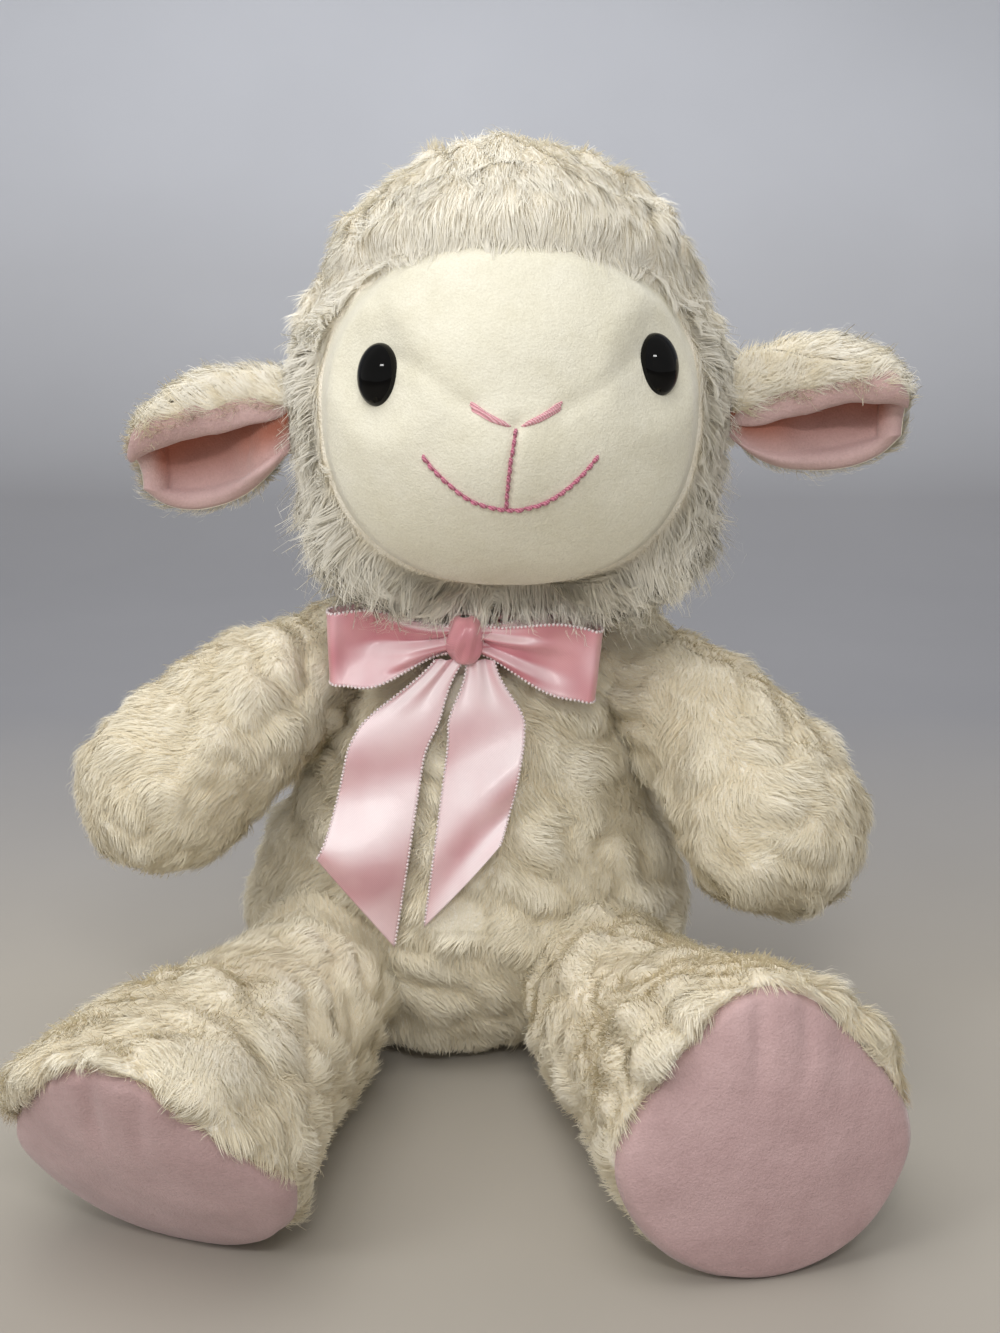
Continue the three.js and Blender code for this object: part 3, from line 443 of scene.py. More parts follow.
def torso_grid(columns):
    """The torso from the middle of its seat to the middle of its top."""
    heights = np.linspace(0, 0.985, 90)
    wide, deep = through_table(TORSO_SHARES, heights).T
    base = np.linspace(0, 1, 9)[:-1]
    heights = np.concatenate([0 * base, heights, [1, 1, 1]])
    wide = np.concatenate([base * 0.7, wide, [0.38, 0.2, 0]])
    deep = np.concatenate([base * 0.7, deep, [0.38, 0.2, 0]])
    turn = around(columns)
    rx = np.maximum(wide * TORSO_WIDTH / 2 - FABRIC_IN * np.minimum(wide / 0.3, 1), 0)
    ry = np.maximum(deep * TORSO_DEPTH / 2 - FABRIC_IN * np.minimum(deep / 0.3, 1), 0)
    x = heights[:, None] * NECK[0] + rx[:, None] * np.cos(turn)
    y = heights[:, None] * NECK[1] + ry[:, None] * np.sin(turn)
    z = np.maximum(heights * TORSO_HEIGHT, FLOOR_GAP)[:, None] + 0 * x
    return np.stack([x, y, z], -1)


def head_reach(way):
    """From the head's middle to the inside of its fabric, for unit directions."""
    narrow = 1 - 0.15 * np.maximum(way[..., 2], 0)
    power = 2.1 + 0.7 * smoothstep(-way[..., 2], -0.6, 0.8)
    parts = (np.abs(way[..., 0] / (HEAD_WIDE * narrow)) ** power + np.abs(way[..., 1] / HEAD_DEEP) ** power
             + np.abs(way[..., 2] / HEAD_TALL) ** power)
    reach = parts ** (-1 / power)
    bulge = np.exp(-((way[..., 0] * reach / 38) ** 2 + ((way[..., 2] * reach + 17) / 30) ** 2))
    return reach + np.maximum(-way[..., 1], 0) * 6.5 * bulge


def face_share(x, z):
    """1 on the face's outline, less inside it, for places from the head's middle."""
    rise = z + FACE_DROP
    power = np.where(rise > 0, *FACE_POWERS)
    return ((np.abs(x) / FACE_WIDE) ** power + (np.abs(rise) / FACE_TALL) ** power) ** (1 / power)


def head_grid(rows, columns):
    """The hood. It dips under the face panel, with a full rolled edge round it."""
    way = bearings(np.linspace(0, math.pi, rows), around(columns))
    reach = head_reach(way)
    spot = way * reach[..., None]
    share = np.where(way[..., 1] < 0, face_share(spot[..., 0], spot[..., 2]), 9)
    out = -1.5 + 6.3 * smoothstep(share, 0.97, 1.13)
    grid = HEAD + way * (reach + out)[..., None]
    return grid[::-1]


def face_spot(x, z, out=0.0):
    """Points on the face at places across and up from the head's middle, and their normals."""
    x, z = np.broadcast_arrays(np.asarray(x, float), np.asarray(z, float))

    def depth_at(x, z):
        depth = np.full(x.shape, 52.0)
        for _ in range(30):
            point = np.stack([x, -depth, z], -1)
            length = np.linalg.norm(point, axis=-1)
            depth = depth + head_reach(point / length[..., None]) + 2.5 + face_relief(x, z) - length
        return depth

    step = 0.4
    depth = depth_at(x, z)
    side = (depth_at(x + step, z) - depth_at(x - step, z)) / (2 * step)
    rise = (depth_at(x, z + step) - depth_at(x, z - step)) / (2 * step)
    normal = unit(np.stack([-side, -np.ones_like(side), -rise], -1))
    return HEAD + np.stack([x, -depth, z], -1) + normal * np.asarray(out)[..., None], normal


def near_path(x, z, path):
    """Distance in mm from places on the face to a path of straight stretches."""
    best = np.full(np.shape(x), 1e9)
    for (ax, az), (bx, bz) in zip(path, path[1:]):
        dx, dz = bx - ax, bz - az
        t = np.clip(((x - ax) * dx + (z - az) * dz) / (dx * dx + dz * dz), 0, 1)
        best = np.minimum(best, np.hypot(x - ax - t * dx, z - az - t * dz))
    return best


# The eyes' places on the face, and their half sizes.
EYES = ((-38.2, 7.3), (43.0, 9.7))
EYE_WIDE, EYE_TALL, EYE_OUT = 6.5, 9.2, 5.6
# Sewn darts on the face: their paths, and how deep and how wide they draw the fabric in.
DARTS = (
    (((-34, 13), (-25, 9.5), (-16, 2.5), (-11, 0)), 0.75, 3.0),
    (((38, 14), (31, 9), (25, 4), (15, -1)), 0.6, 3.0),
    (((-35, 19), (-39, 28), (-44, 37)), 0.5, 3.0),
    (((40, 21), (43, 30), (46, 39)), 0.4, 3.0),
)


def face_relief(x, z):
    """How the face departs from its plain form: sewn darts, eye dents, brow, cheeks and muzzle."""
    relief = 0.0
    for path, deep, wide in DARTS:
        relief = relief - deep * np.exp(-(near_path(x, z, path) / wide) ** 2)
    for ex, ez in EYES:
        away = np.hypot((x - ex) / 11.5, (z - ez) / 14)
        relief = relief - 2.4 * np.exp(-away ** 4)
        relief = relief + 0.5 * np.exp(-((away - 1.45) / 0.4) ** 2)
    relief = relief + 1.6 * np.exp(-((x / 24) ** 2 + ((z - 20) / 15) ** 2))
    relief = relief + 2.2 * np.exp(-((x / 23) ** 2 + ((z + 15) / 15) ** 2))
    relief = relief - 1.0 * np.exp(-(((x - 1.5) / 3.0) ** 2 + ((z + 4.5) / 3.0) ** 2))
    relief = relief - 0.7 * np.exp(-(near_path(x, z, ((1.5, -6), (-1, -28.5))) / 1.6) ** 2)
    return relief


def smile_path(count):
    across = np.linspace(-1, 1, count)
    return across * 25, -29.5 + 15.5 * np.abs(across) ** 2.1


ARM_SHARES = [(0, 0.741), (0.09, 0.7), (0.19, 0.76), (0.4, 0.88), (0.62, 0.94), (0.84, 0.99), (1, 1)]
LEG_SHARES = [
    (0, 0.602, 0.595), (0.06, 0.575, 0.57), (0.13, 0.61, 0.605), (0.34, 0.72, 0.71),
    (0.55, 0.78, 0.77), (0.72, 0.88, 0.88), (0.87, 0.98, 0.98), (1, 1, 1)]


class Limb:
    """An arm or a leg: a root dome, a body that swells and tapers, and an end dome."""

    def __init__(self, side, spine, shares, ball, end_wide, end_tall, bulge, faces=None):
        self.side = side
        self.sign = 1 if side == "left" else -1
        self.spine, self.tangent = centripetal(spine, 61)
        self.faces = self.tangent[-1] if faces is None else faces
        self.root, self.tip = self.spine[0], self.spine[-1]
        self.shares, self.ball = shares, ball
        self.end_wide, self.end_tall, self.bulge = end_wide, end_tall, bulge
        self.over, self.across = self.square(self.faces)

    @staticmethod
    def square(along):
        over = unit(UP - along * np.dot(UP, along))
        return over, np.cross(over, along)

    def past_root(self, points):
        """How far points lie from the root along the limb."""
        return (points - self.root) @ self.tangent[0]

    def grid(self, columns):
        turn = around(columns)[:, None]
        rows = []

        def ring(middle, along, wide, tall):
            over, across = self.square(along)
            rows.append(middle + across * wide * np.cos(turn) + over * tall * np.sin(turn))

        radius = self.ball - FABRIC_IN
        start = self.tangent[0]
        for a in np.linspace(0, math.pi / 2, 8)[:-1]:
            out = radius * math.sin(a)
            ring(self.root - start * radius * math.cos(a), start, out, out)
        places = np.linspace(0, 1, 61)
        shares = through_table(self.shares, places)
        for k, place in enumerate(places):
            turned = smoothstep(place, 0.3, 1)
            along = unit(self.tangent[k] * (1 - turned) + self.faces * turned)
            wide = self.end_wide / 2 * shares[k, 0] - FABRIC_IN
            tall = self.end_tall / 2 * shares[k, -1] - FABRIC_IN
            ring(self.spine[k], along, wide, tall)
        wide, tall = self.end_wide / 2 - FABRIC_IN, self.end_tall / 2 - FABRIC_IN
        bulge = self.bulge - FABRIC_IN
        for a in np.linspace(0, math.pi / 2, 17)[1:]:
            middle = self.tip + self.faces * bulge * math.sin(a)
            ring(middle, self.faces, wide * math.cos(a), tall * math.cos(a))
        grid = np.array(rows)
        grid[..., 2] = np.maximum(grid[..., 2], FLOOR_GAP)
        return grid


def over_ball(grid, limb):
    """The fabric lies over the ball of stuffing at the limb's root."""
    away = grid - limb.root
    length = np.linalg.norm(away, axis=-1, keepdims=True)
    return limb.root + away * np.maximum(1, (limb.ball + OVER_BALL) / np.maximum(length, 1))


def make_arm(side, heading, crown, aside, plump):
    """crown and aside bow the arm up and outwards. plump is how far its paw swells."""
    sign = 1 if side == "left" else -1
    share = ARM_HIGH / TORSO_HEIGHT
    root = np.array([NECK[0] * share + sign * ARM_OUT, NECK[1] * share + ARM_BACK, ARM_HIGH])
    way = unit(np.array(heading, float))
    middle = root + way * ARM_LONG / 2 + np.array([sign * aside, 0, crown])
    spine = [root, middle, root + way * ARM_LONG]
    arm = Limb(side, spine, ARM_SHARES, ARM_BALL, ARM_WIDE, ARM_WIDE, ARM_BULGE)
    arm.plump = plump
    return arm


def make_leg(side, knee, ankle, sole):
    """knee and ankle are places out and ahead. sole adds how far it turns aside and tips up, in degrees."""
    sign = 1 if side == "left" else -1
    out, ahead, aside, tip = sole
    tip, aside = math.radians(tip), math.radians(aside)
    level = math.cos(tip)
    height = math.hypot(LEG_TALL / 2 * level, LEG_BULGE * math.sin(min(tip, 0))) - 0.5
    faces = np.array([sign * math.sin(aside) * level, -math.cos(aside) * level, math.sin(tip)])
    spine = [(sign * HIP[0], *HIP[1:]), (sign * knee[0], -knee[1], KNEE_HIGH),
             (sign * ankle[0], -ankle[1], ANKLE_HIGH), (sign * out, -ahead, height)]
    return Limb(side, spine, LEG_SHARES, LEG_BALL, LEG_WIDE, LEG_TALL, LEG_BULGE, faces)


EAR_SHARES = [
    (0, 0.02, 0.58, 0.1), (1, 0.16, 0.8, 0.42), (2, 0.34, 0.95, 0.8), (3, 0.54, 1, 1),
    (4, 0.74, 0.93, 0.85), (5, 0.9, 0.7, 0.5), (6, 1, 0.34, 0.12)]


def ear_root(sign, drop):
    """Where the ear is sewn on, drop below the head's middle."""
    way = unit(np.array([sign, -2 / EAR_OUT, -drop / EAR_OUT]))
    return HEAD + way * (head_reach(way[None])[0] + 6.8)


def ear_spots(sign, drop, droop, swept, tilt, u, v):
    """Points on the ear's cup. u goes from root to tip, v from the lower edge to the upper."""
    share, tall, cup = through_table(EAR_SHARES, np.clip(u.ravel(), 0, 1) * 6).T
    v = v.ravel()
    turned = math.radians(tilt) * np.minimum(share / 0.45, 1)
    out = share * EAR_LONG
    half = np.maximum(tall * EAR_TALL / 2, 0.5)
    deep = np.maximum(cup * EAR_DEEP, 0.2)
    arc = 2 * np.arctan(deep / half)
    bend = half / np.sin(arc)
    turn = (2 * v - 1) * arc
    back = deep - bend * (1 - np.cos(turn)) - 10
    rise = bend * np.sin(turn)
    y = (back * np.cos(turned) - rise * np.sin(turned)) * share
    z = rise * np.cos(turned) + back * np.sin(turned) - math.tan(math.radians(droop)) * out
    lie = math.radians(swept) * np.minimum(share / 0.3, 1)
    out, y = out * np.cos(lie) - y * np.sin(lie), out * np.sin(lie) + y * np.cos(lie)
    spots = np.stack([sign * out, y, z], -1) + ear_root(sign, drop)
    return spots.reshape(*u.shape, 3)


# Fur

def scatter(grid, wrap, density, rng, towards):
    """Random roots on a grid, with their normals."""
    rows, columns = grid.shape[:2]
    normals = grid_normals(grid, wrap).reshape(-1, 3)
    points = grid.reshape(-1, 3)
    quads = grid_quads(rows, columns, wrap)
    tris = np.concatenate([quads[:, [0, 1, 2]], quads[:, [0, 2, 3]]])
    a, b, c = points[tris[:, 0]], points[tris[:, 1]], points[tris[:, 2]]
    area = np.linalg.norm(np.cross(b - a, c - a), axis=1) / 2
    count = int(area.sum() * density)
    pick = rng.choice(len(tris), count, p=area / area.sum())
    r1, r2 = np.sqrt(rng.random(count)), rng.random(count)
    weights = np.stack([1 - r1, r1 * (1 - r2), r1 * r2], 1)
    roots = (points[tris[pick]] * weights[..., None]).sum(1)
    normal = unit((normals[tris[pick]] * weights[..., None]).sum(1))
    return roots, normal * outward(roots, normal, towards)


def nearest(tree, points):
    return np.array([tree.find(p)[1] for p in points])


def tree_of(points):
    tree = KDTree(len(points))
    for k, point in enumerate(points):
        tree.insert(point, k)
    tree.balance()
    return tree


# A strand's points lie at these shares of its length.
LEVELS = np.array([0, 0.36, 0.7, 1.0])
FUZZ_SHARE, QUICK_SHARE = 0.08, 0.35


def grow(name, body, grid, wrap, style, flow, seed, keep=None, shape=None, towards=None):
    """Locks of pile on a grid. flow gives the way that the pile lies at some points, keep says which of
    them have pile, and shape changes the height and length of its locks."""
    rng = np.random.default_rng(seed)
    density = style["density"] * 1
    roots, normals = scatter(grid, wrap, density, rng, towards)
    if keep is not None:
        kept = keep(roots)
        roots, normals = roots[kept], normals[kept]
    count = len(roots)

    # A lock gathers the strands round a centre, and small wisps gather strands within it.
    centres = roots[rng.choice(count, max(int(count / density / style["spacing"] ** 2), 4), replace=False)]
    wander = style["spacing"] * 0.25 * rng.normal(size=(count, 3))
    lock = nearest(tree_of(centres), roots + wander)
    total = np.zeros_like(centres)
    np.add.at(total, lock, roots)
    number = np.maximum(np.bincount(lock, minlength=len(centres)), 1)[:, None]
    centre_root = nearest(tree_of(roots), total / number)
    centres, centre_normal = roots[centre_root], normals[centre_root]
    lock = nearest(tree_of(centres), roots + wander)
    wisp_root = rng.choice(count, max(count // style["wisp"], 4), replace=False)
    wisp = wisp_root[nearest(tree_of(roots[wisp_root]), roots)]

    lean = flow(centres)
    lean = unit(lean - centre_normal * (lean * centre_normal).sum(1, keepdims=True))
    swirl = lumps(centres, style["swirl"], seed) * style["swirl_turn"]
    if "calm" in style:
        swirl = swirl * (1 - style["calm"](centres))
    angle = np.radians(swirl + rng.normal(size=len(centres)) * style["stray_turn"])[:, None]
    lean = lean * np.cos(angle) + np.cross(centre_normal, lean) * np.sin(angle)
    height = style["height"] * rng.uniform(0.72, 1.25, len(centres))
    length = style["length"] * rng.uniform(0.7, 1.3, len(centres))
    curl = style["curl"] * rng.uniform(-1, 1, len(centres))
    if shape is not None:
        height, length = shape(centres, height, length)

    t = LEVELS[None, :, None]

    def own(root, normal, lock_of, scale, loft):
        """A strand's own course: up out of the fabric, then over along the lie of its lock."""
        way = lean[lock_of]
        way = unit(way - normal * (way * normal).sum(1, keepdims=True))
        side = np.cross(normal, way)
        h = (height[lock_of] * scale * loft)[:, None, None]
        l = (length[lock_of] * scale)[:, None, None]
        c = curl[lock_of][:, None, None]
        rise = h * np.sin(t * math.pi * 0.62) ** 1.3
        return (root[:, None] + normal[:, None] * rise + way[:, None] * l * t ** 1.45
                + side[:, None] * c * t ** 2)

    scale = rng.uniform(0.78, 1.12, count)
    fly = rng.random(count) < FUZZ_SHARE
    mine = own(roots, normals, lock, scale, np.where(fly, rng.uniform(1.6, 2.8, count), 1))
    middle = own(centres, centre_normal, np.arange(len(centres)), 1, 1)
    hold = style["lock"] * rng.uniform(0.75, 1.1, count)
    hold[fly] *= 0.4
    pull = np.clip(hold, 0, 0.95)[:, None, None] * t ** 1.15
    shaped = mine * (1 - pull) + middle[lock] * pull
    tie = style["tie"] * np.clip(hold / style["lock"], 0, 1)[:, None, None] * t
    strands = shaped * (1 - tie) + shaped[wisp] * tie
    strands += rng.normal(size=(count, 3))[:, None] * style["fuzz"] * t
    strands += rng.normal(size=(count, len(LEVELS), 3)) * style["frizz"] * t
    if "after" in style:
        strands = style["after"](strands)
    strands[..., 2] = np.maximum(strands[..., 2], 0.5 + 0.4 * rng.random((count, 1)))

    # Each strand is a flat ribbon that ends in a point.
    course = unit(strands[:, -1] - strands[:, 0])
    face = unit(normals + rng.normal(size=(count, 3)) * 0.2)
    wide = unit(np.cross(course, face))
    half = style["width"] / 2 * rng.uniform(0.7, 1.25, count)
    shares = np.array([1, 0.95, 0.72])
    step = wide[:, None] * (half[:, None] * shares)[..., None]
    left, right = strands[:, :-1] - step, strands[:, :-1] + step
    points = np.concatenate([np.stack([left, right], 2).reshape(count, -1, 3), strands[:, -1:]], 1)
    # It is lit as the soft mass of the pile is, not as a hard ribbon.
    rise = unit(face - course * (face * course).sum(1, keepdims=True))
    soft = np.repeat(unit(normals + rise * 0.12 + style.get("turned", 0))[:, None], 7, 1)
    # Painted shade: each strand's tint is darker in the creases between tufts and paler on their crests,
    # with a little random tone for each lock and strand.
    painted_crease_shade = style["pale"] + tuft_height(roots, *style["tuft"]) * style["shade"]
    painted_crease_shade = painted_crease_shade + 0.05 * ((lock * 0.618034) % 1 - 0.5)
    tint = np.clip(painted_crease_shade + 0.07 * rng.normal(size=count), 0.01, 0.99)
    u = np.repeat(tint[:, None], 7, 1)
    v = np.broadcast_to(np.append(np.repeat(LEVELS[:-1], 2), 1.0), (count, 7))
    uv = np.stack([u, 0.01 + 0.98 * v], -1)
    pieces = math.ceil(count * 5 / FACES_IN_PIECE)
    for k, part in enumerate(np.array_split(np.argsort(roots[:, 0]), pieces)):
        first = np.arange(len(part))[:, None, None] * 7
        quads = (first + np.array([[0, 1, 3, 2], [2, 3, 5, 4]])).reshape(-1, 4)
        tris = first[:, 0] + np.array([4, 5, 6])
        made = make_mesh(f"{name}_{k + 1}", points[part], quads, tris, uv[part].reshape(-1, 2), soft[part])
        made.data.materials.append(LOOKS["pile"])
        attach(made, body)


def lying(way):
    """A flow that is the same all over."""
    return lambda points: np.tile(np.array(way, float), (len(points), 1))


falling = lying((0, 0, -1))


def tuft_height(points, size, seed):
    """0 in the creases between tufts, and about 1 on their crests."""
    squat = points * np.array([1, 1, 1.12]) + points[..., [1, 2, 0]] * 0.3
    return np.abs(lumps(squat, size, seed)) * 1.75 + np.abs(lumps(squat, size * 0.5, seed + 7)) * 0.4


def puffed(grid, wrap, amount, tuft, towards=None):
    """A grid whose surface swells in soft tufts with creases between, as the dense pile does."""
    normal = grid_normals(grid, wrap)
    normal = normal * outward(grid.reshape(-1, 3), normal.reshape(-1, 3), towards)
    swell = tuft_height(grid, *tuft) * 1.45 - 0.45
    return grid + normal * (swell * amount)[..., None]


# Strands to a square mm, their size in mm, the locks' spacing and swirl, how strands gather in locks and
# wisps, how much they stray, and, as painted shade, how pale they are in the creases and, beyond that, on
# the crests.
# The body's pile is painted darker, as painted shade lower down, and the hood's and the ruff's paler, as
# painted light on the head.
BODY_STYLE = {
    "density": 2.6, "width": 0.19, "height": 1.35, "length": 5.0, "spacing": 7.0, "swirl": 22,
    "swirl_turn": 110, "stray_turn": 8, "curl": 1.5, "lock": 0.1, "tie": 0.4, "wisp": 8, "fuzz": 0.24,
    "frizz": 0.06, "pale": 0.1, "shade": 0.3}
HOOD_STYLE = dict(
    BODY_STYLE, height=1.25, length=6.0, spacing=6.0, swirl=14, curl=1.6, tie=0.3, pale=0.34, shade=2.2)
EAR_STYLE = dict(
    BODY_STYLE, height=1.3, length=4.5, spacing=5.0, swirl_turn=50, density=2.8, pale=0.12, shade=0.9)
RUFF_STYLE = dict(
    BODY_STYLE, density=2.7, height=4.0, length=7.0, spacing=4.2, swirl=8, swirl_turn=70, curl=4.5,
    lock=0.8, tie=0.6, stray_turn=14, pale=0.52, shade=2.4)
# How far the fabric swells in tufts, in mm.
TORSO_PUFF, ARM_PUFF, LEG_PUFF, HOOD_PUFF = 2.6, 2.0, 2.3, 2.7
FACES_IN_PIECE = 180_000


# Pieces

LOOKS = {
    "pile": pile_material(),
    "backing": backing_material(),
    "face": velour_material("face_velour", (0.80, 0.765, 0.62), (0.88, 0.85, 0.72), 0.00022),
    "pink": velour_material(
        "pink_velour", (0.575, 0.385, 0.375), (0.665, 0.465, 0.455), 0.00025, (0.66, 0.35, 0.24)),
    "sole": velour_material("sole_velour", (0.50, 0.335, 0.335), (0.59, 0.41, 0.41), 0.00025),
    "satin": satin_material("satin", (0.62, 0.21, 0.255), (0.80, 0.39, 0.43)),
    # Painted highlight: the tails' satin is a paler copy of the loops' satin.
    "painted_lit_satin": satin_material("painted_lit_satin", (0.72, 0.39, 0.43), (0.86, 0.58, 0.61)),
    "picot": thread_material("picot_thread", (0.90, 0.72, 0.74), (0.98, 0.90, 0.90), 0.35),
    "rose": thread_material("rose_thread", (0.46, 0.11, 0.19), (0.70, 0.25, 0.35)),
    "blush": thread_material("blush_thread", (0.74, 0.32, 0.37), (0.90, 0.52, 0.56)),
    "eye": eye_material(),
    "cord": thread_material("seam_cord", (0.60, 0.52, 0.38), (0.80, 0.73, 0.57), 0.8),
    "fibre": plain_material("fibre_fill", (0.80, 0.77, 0.67), (0.9, 0.88, 0.80), 250.0, 0.95),
    "washer": plain_material("washer_plastic", (0.66, 0.66, 0.62), (0.74, 0.74, 0.70), 120.0, 0.45),
    "floor": floor_material(),
}


def dress(piece, look, slot, body, *nodes, fill=None):
    """Look and body of a piece, and the nodes that it stands for. Its slot and its fill where it is padded
    are not used.
    """
    piece.data.materials.append(LOOKS[look])
    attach(piece, body)
    if nodes:
        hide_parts(*nodes)


def shut(grid):
    """A tube with both of its ends sewn shut."""
    seam = (grid + grid[:, ::-1]) / 2
    return np.concatenate([seam[:1], grid, seam[-1:]])


def panel(front, back):
    """Two facing sheets, sewn shut all round."""
    return shut(np.concatenate([front, back[:, ::-1]], 1))


def shell(name, grid, thick, wrap=False):
    """A closed sheet of even thickness, half on each side of a grid."""
    rows, columns = grid.shape[:2]
    normal = grid_normals(grid, wrap)
    upper = (grid + normal * thick / 2).reshape(-1, 3)
    lower = (grid - normal * thick / 2).reshape(-1, 3)
    quads = grid_quads(rows, columns, wrap)
    under = quads[:, ::-1] + len(upper)
    sides = []
    edge = [np.arange(columns), (rows - 1) * columns + np.arange(columns)[::-1]]
    if not wrap:
        edge += [np.arange(rows)[::-1] * columns, np.arange(rows) * columns + columns - 1]
    for line in edge:
        a, b = line[:-1], line[1:]
        if wrap:
            a, b = line, np.roll(line, -1)
        sides.append(np.stack([b, a, a + len(upper), b + len(upper)], 1))
    return make_mesh(name, np.concatenate([upper, lower]), np.concatenate([quads, under, *sides]))


def tube(points, radius, sides=8, taper=None):
    """Points and quads of an open tube along a path, whose radius a taper can scale at each point."""
    points = np.asarray(points, float)
    along = unit(np.gradient(points, axis=0))
    base = np.array([0.3, 0.2, 0.93]) if abs(along[0][2]) < 0.9 else np.array([1.0, 0, 0])
    over = unit(np.cross(along, np.cross(base, along)))
    across = np.cross(along, over)
    turn = around(sides)
    size = np.ones(len(points)) if taper is None else np.asarray(taper)
    ring = (across[:, None] * np.cos(turn)[None, :, None] + over[:, None] * np.sin(turn)[None, :, None])
    rings = points[:, None] + ring * (radius * size)[:, None, None]
    return rings.reshape(-1, 3), grid_quads(len(points), sides, True)


def joined(parts):
    points, quads, start = [], [], 0
    for part_points, part_quads in parts:
        points.append(part_points)
        quads.append(part_quads + start)
        start += len(part_points)
    return np.concatenate(points), np.concatenate(quads)


def make_torso(limbs):
    tuft = (17, 2)
    grid = torso_grid(150)
    # The seat spreads where it bears on the legs.
    grid[..., 0] *= 1 + 0.05 * np.exp(-((grid[..., 2] - 42) / 26) ** 2)
    grid = under_ribbon(puffed(grid, True, TORSO_PUFF, tuft))
    dress(grid_object("torso_fabric", grid, True), "backing", "fur", "torso", "torso_skin", fill=0.75)
    roots = [(limb.root, limb.ball, limb.tangent[0]) for limb in limbs]

    def keep(points):
        kept = np.ones(len(points), bool)
        for root, ball, heading in roots:
            kept &= np.linalg.norm(points - root - heading * 6, axis=1) > ball - 4
        under_head = (points[:, 2] > 150) & (np.hypot(*(points - NECK)[:, :2].T) < 14)
        return kept & ~under_head

    def shape(centres, height, length):
        low = smoothstep(centres[:, 2], 0, 14)
        neck = 1 - 0.35 * smoothstep(centres[:, 2], 132, 146)
        return height * (0.25 + 0.75 * low) * neck, length * neck

    style = dict(BODY_STYLE, tuft=tuft, after=under_ribbon)
    grow("torso_pile", "torso", grid, True, style, falling, 11, keep, shape)


def under_ribbon(strands):
    """The fabric and its pile lie flat behind the ribbon's tails."""
    x, y, z = strands[..., 0], strands[..., 1], strands[..., 2]
    for _, sign, drop, aside, spread, _ in TAILS:
        start = tail_start(sign)
        u = np.clip((start[2] - z) / drop, 0, 1)
        middle = start[0] + tail_middle(sign, aside, spread, u)
        plane = start[1] - TAIL_LEAN * np.sin(math.pi / 2 * u) + 4.6
        near = (1 - smoothstep(np.abs(x - middle), 11, 16)) * (z > start[2] - drop - 3) * (z < start[2] + 4)
        near = near * (y < 0)
        y = np.where(y < plane, y + (plane - y) * near, y)
    strands[..., 1] = y
    return strands


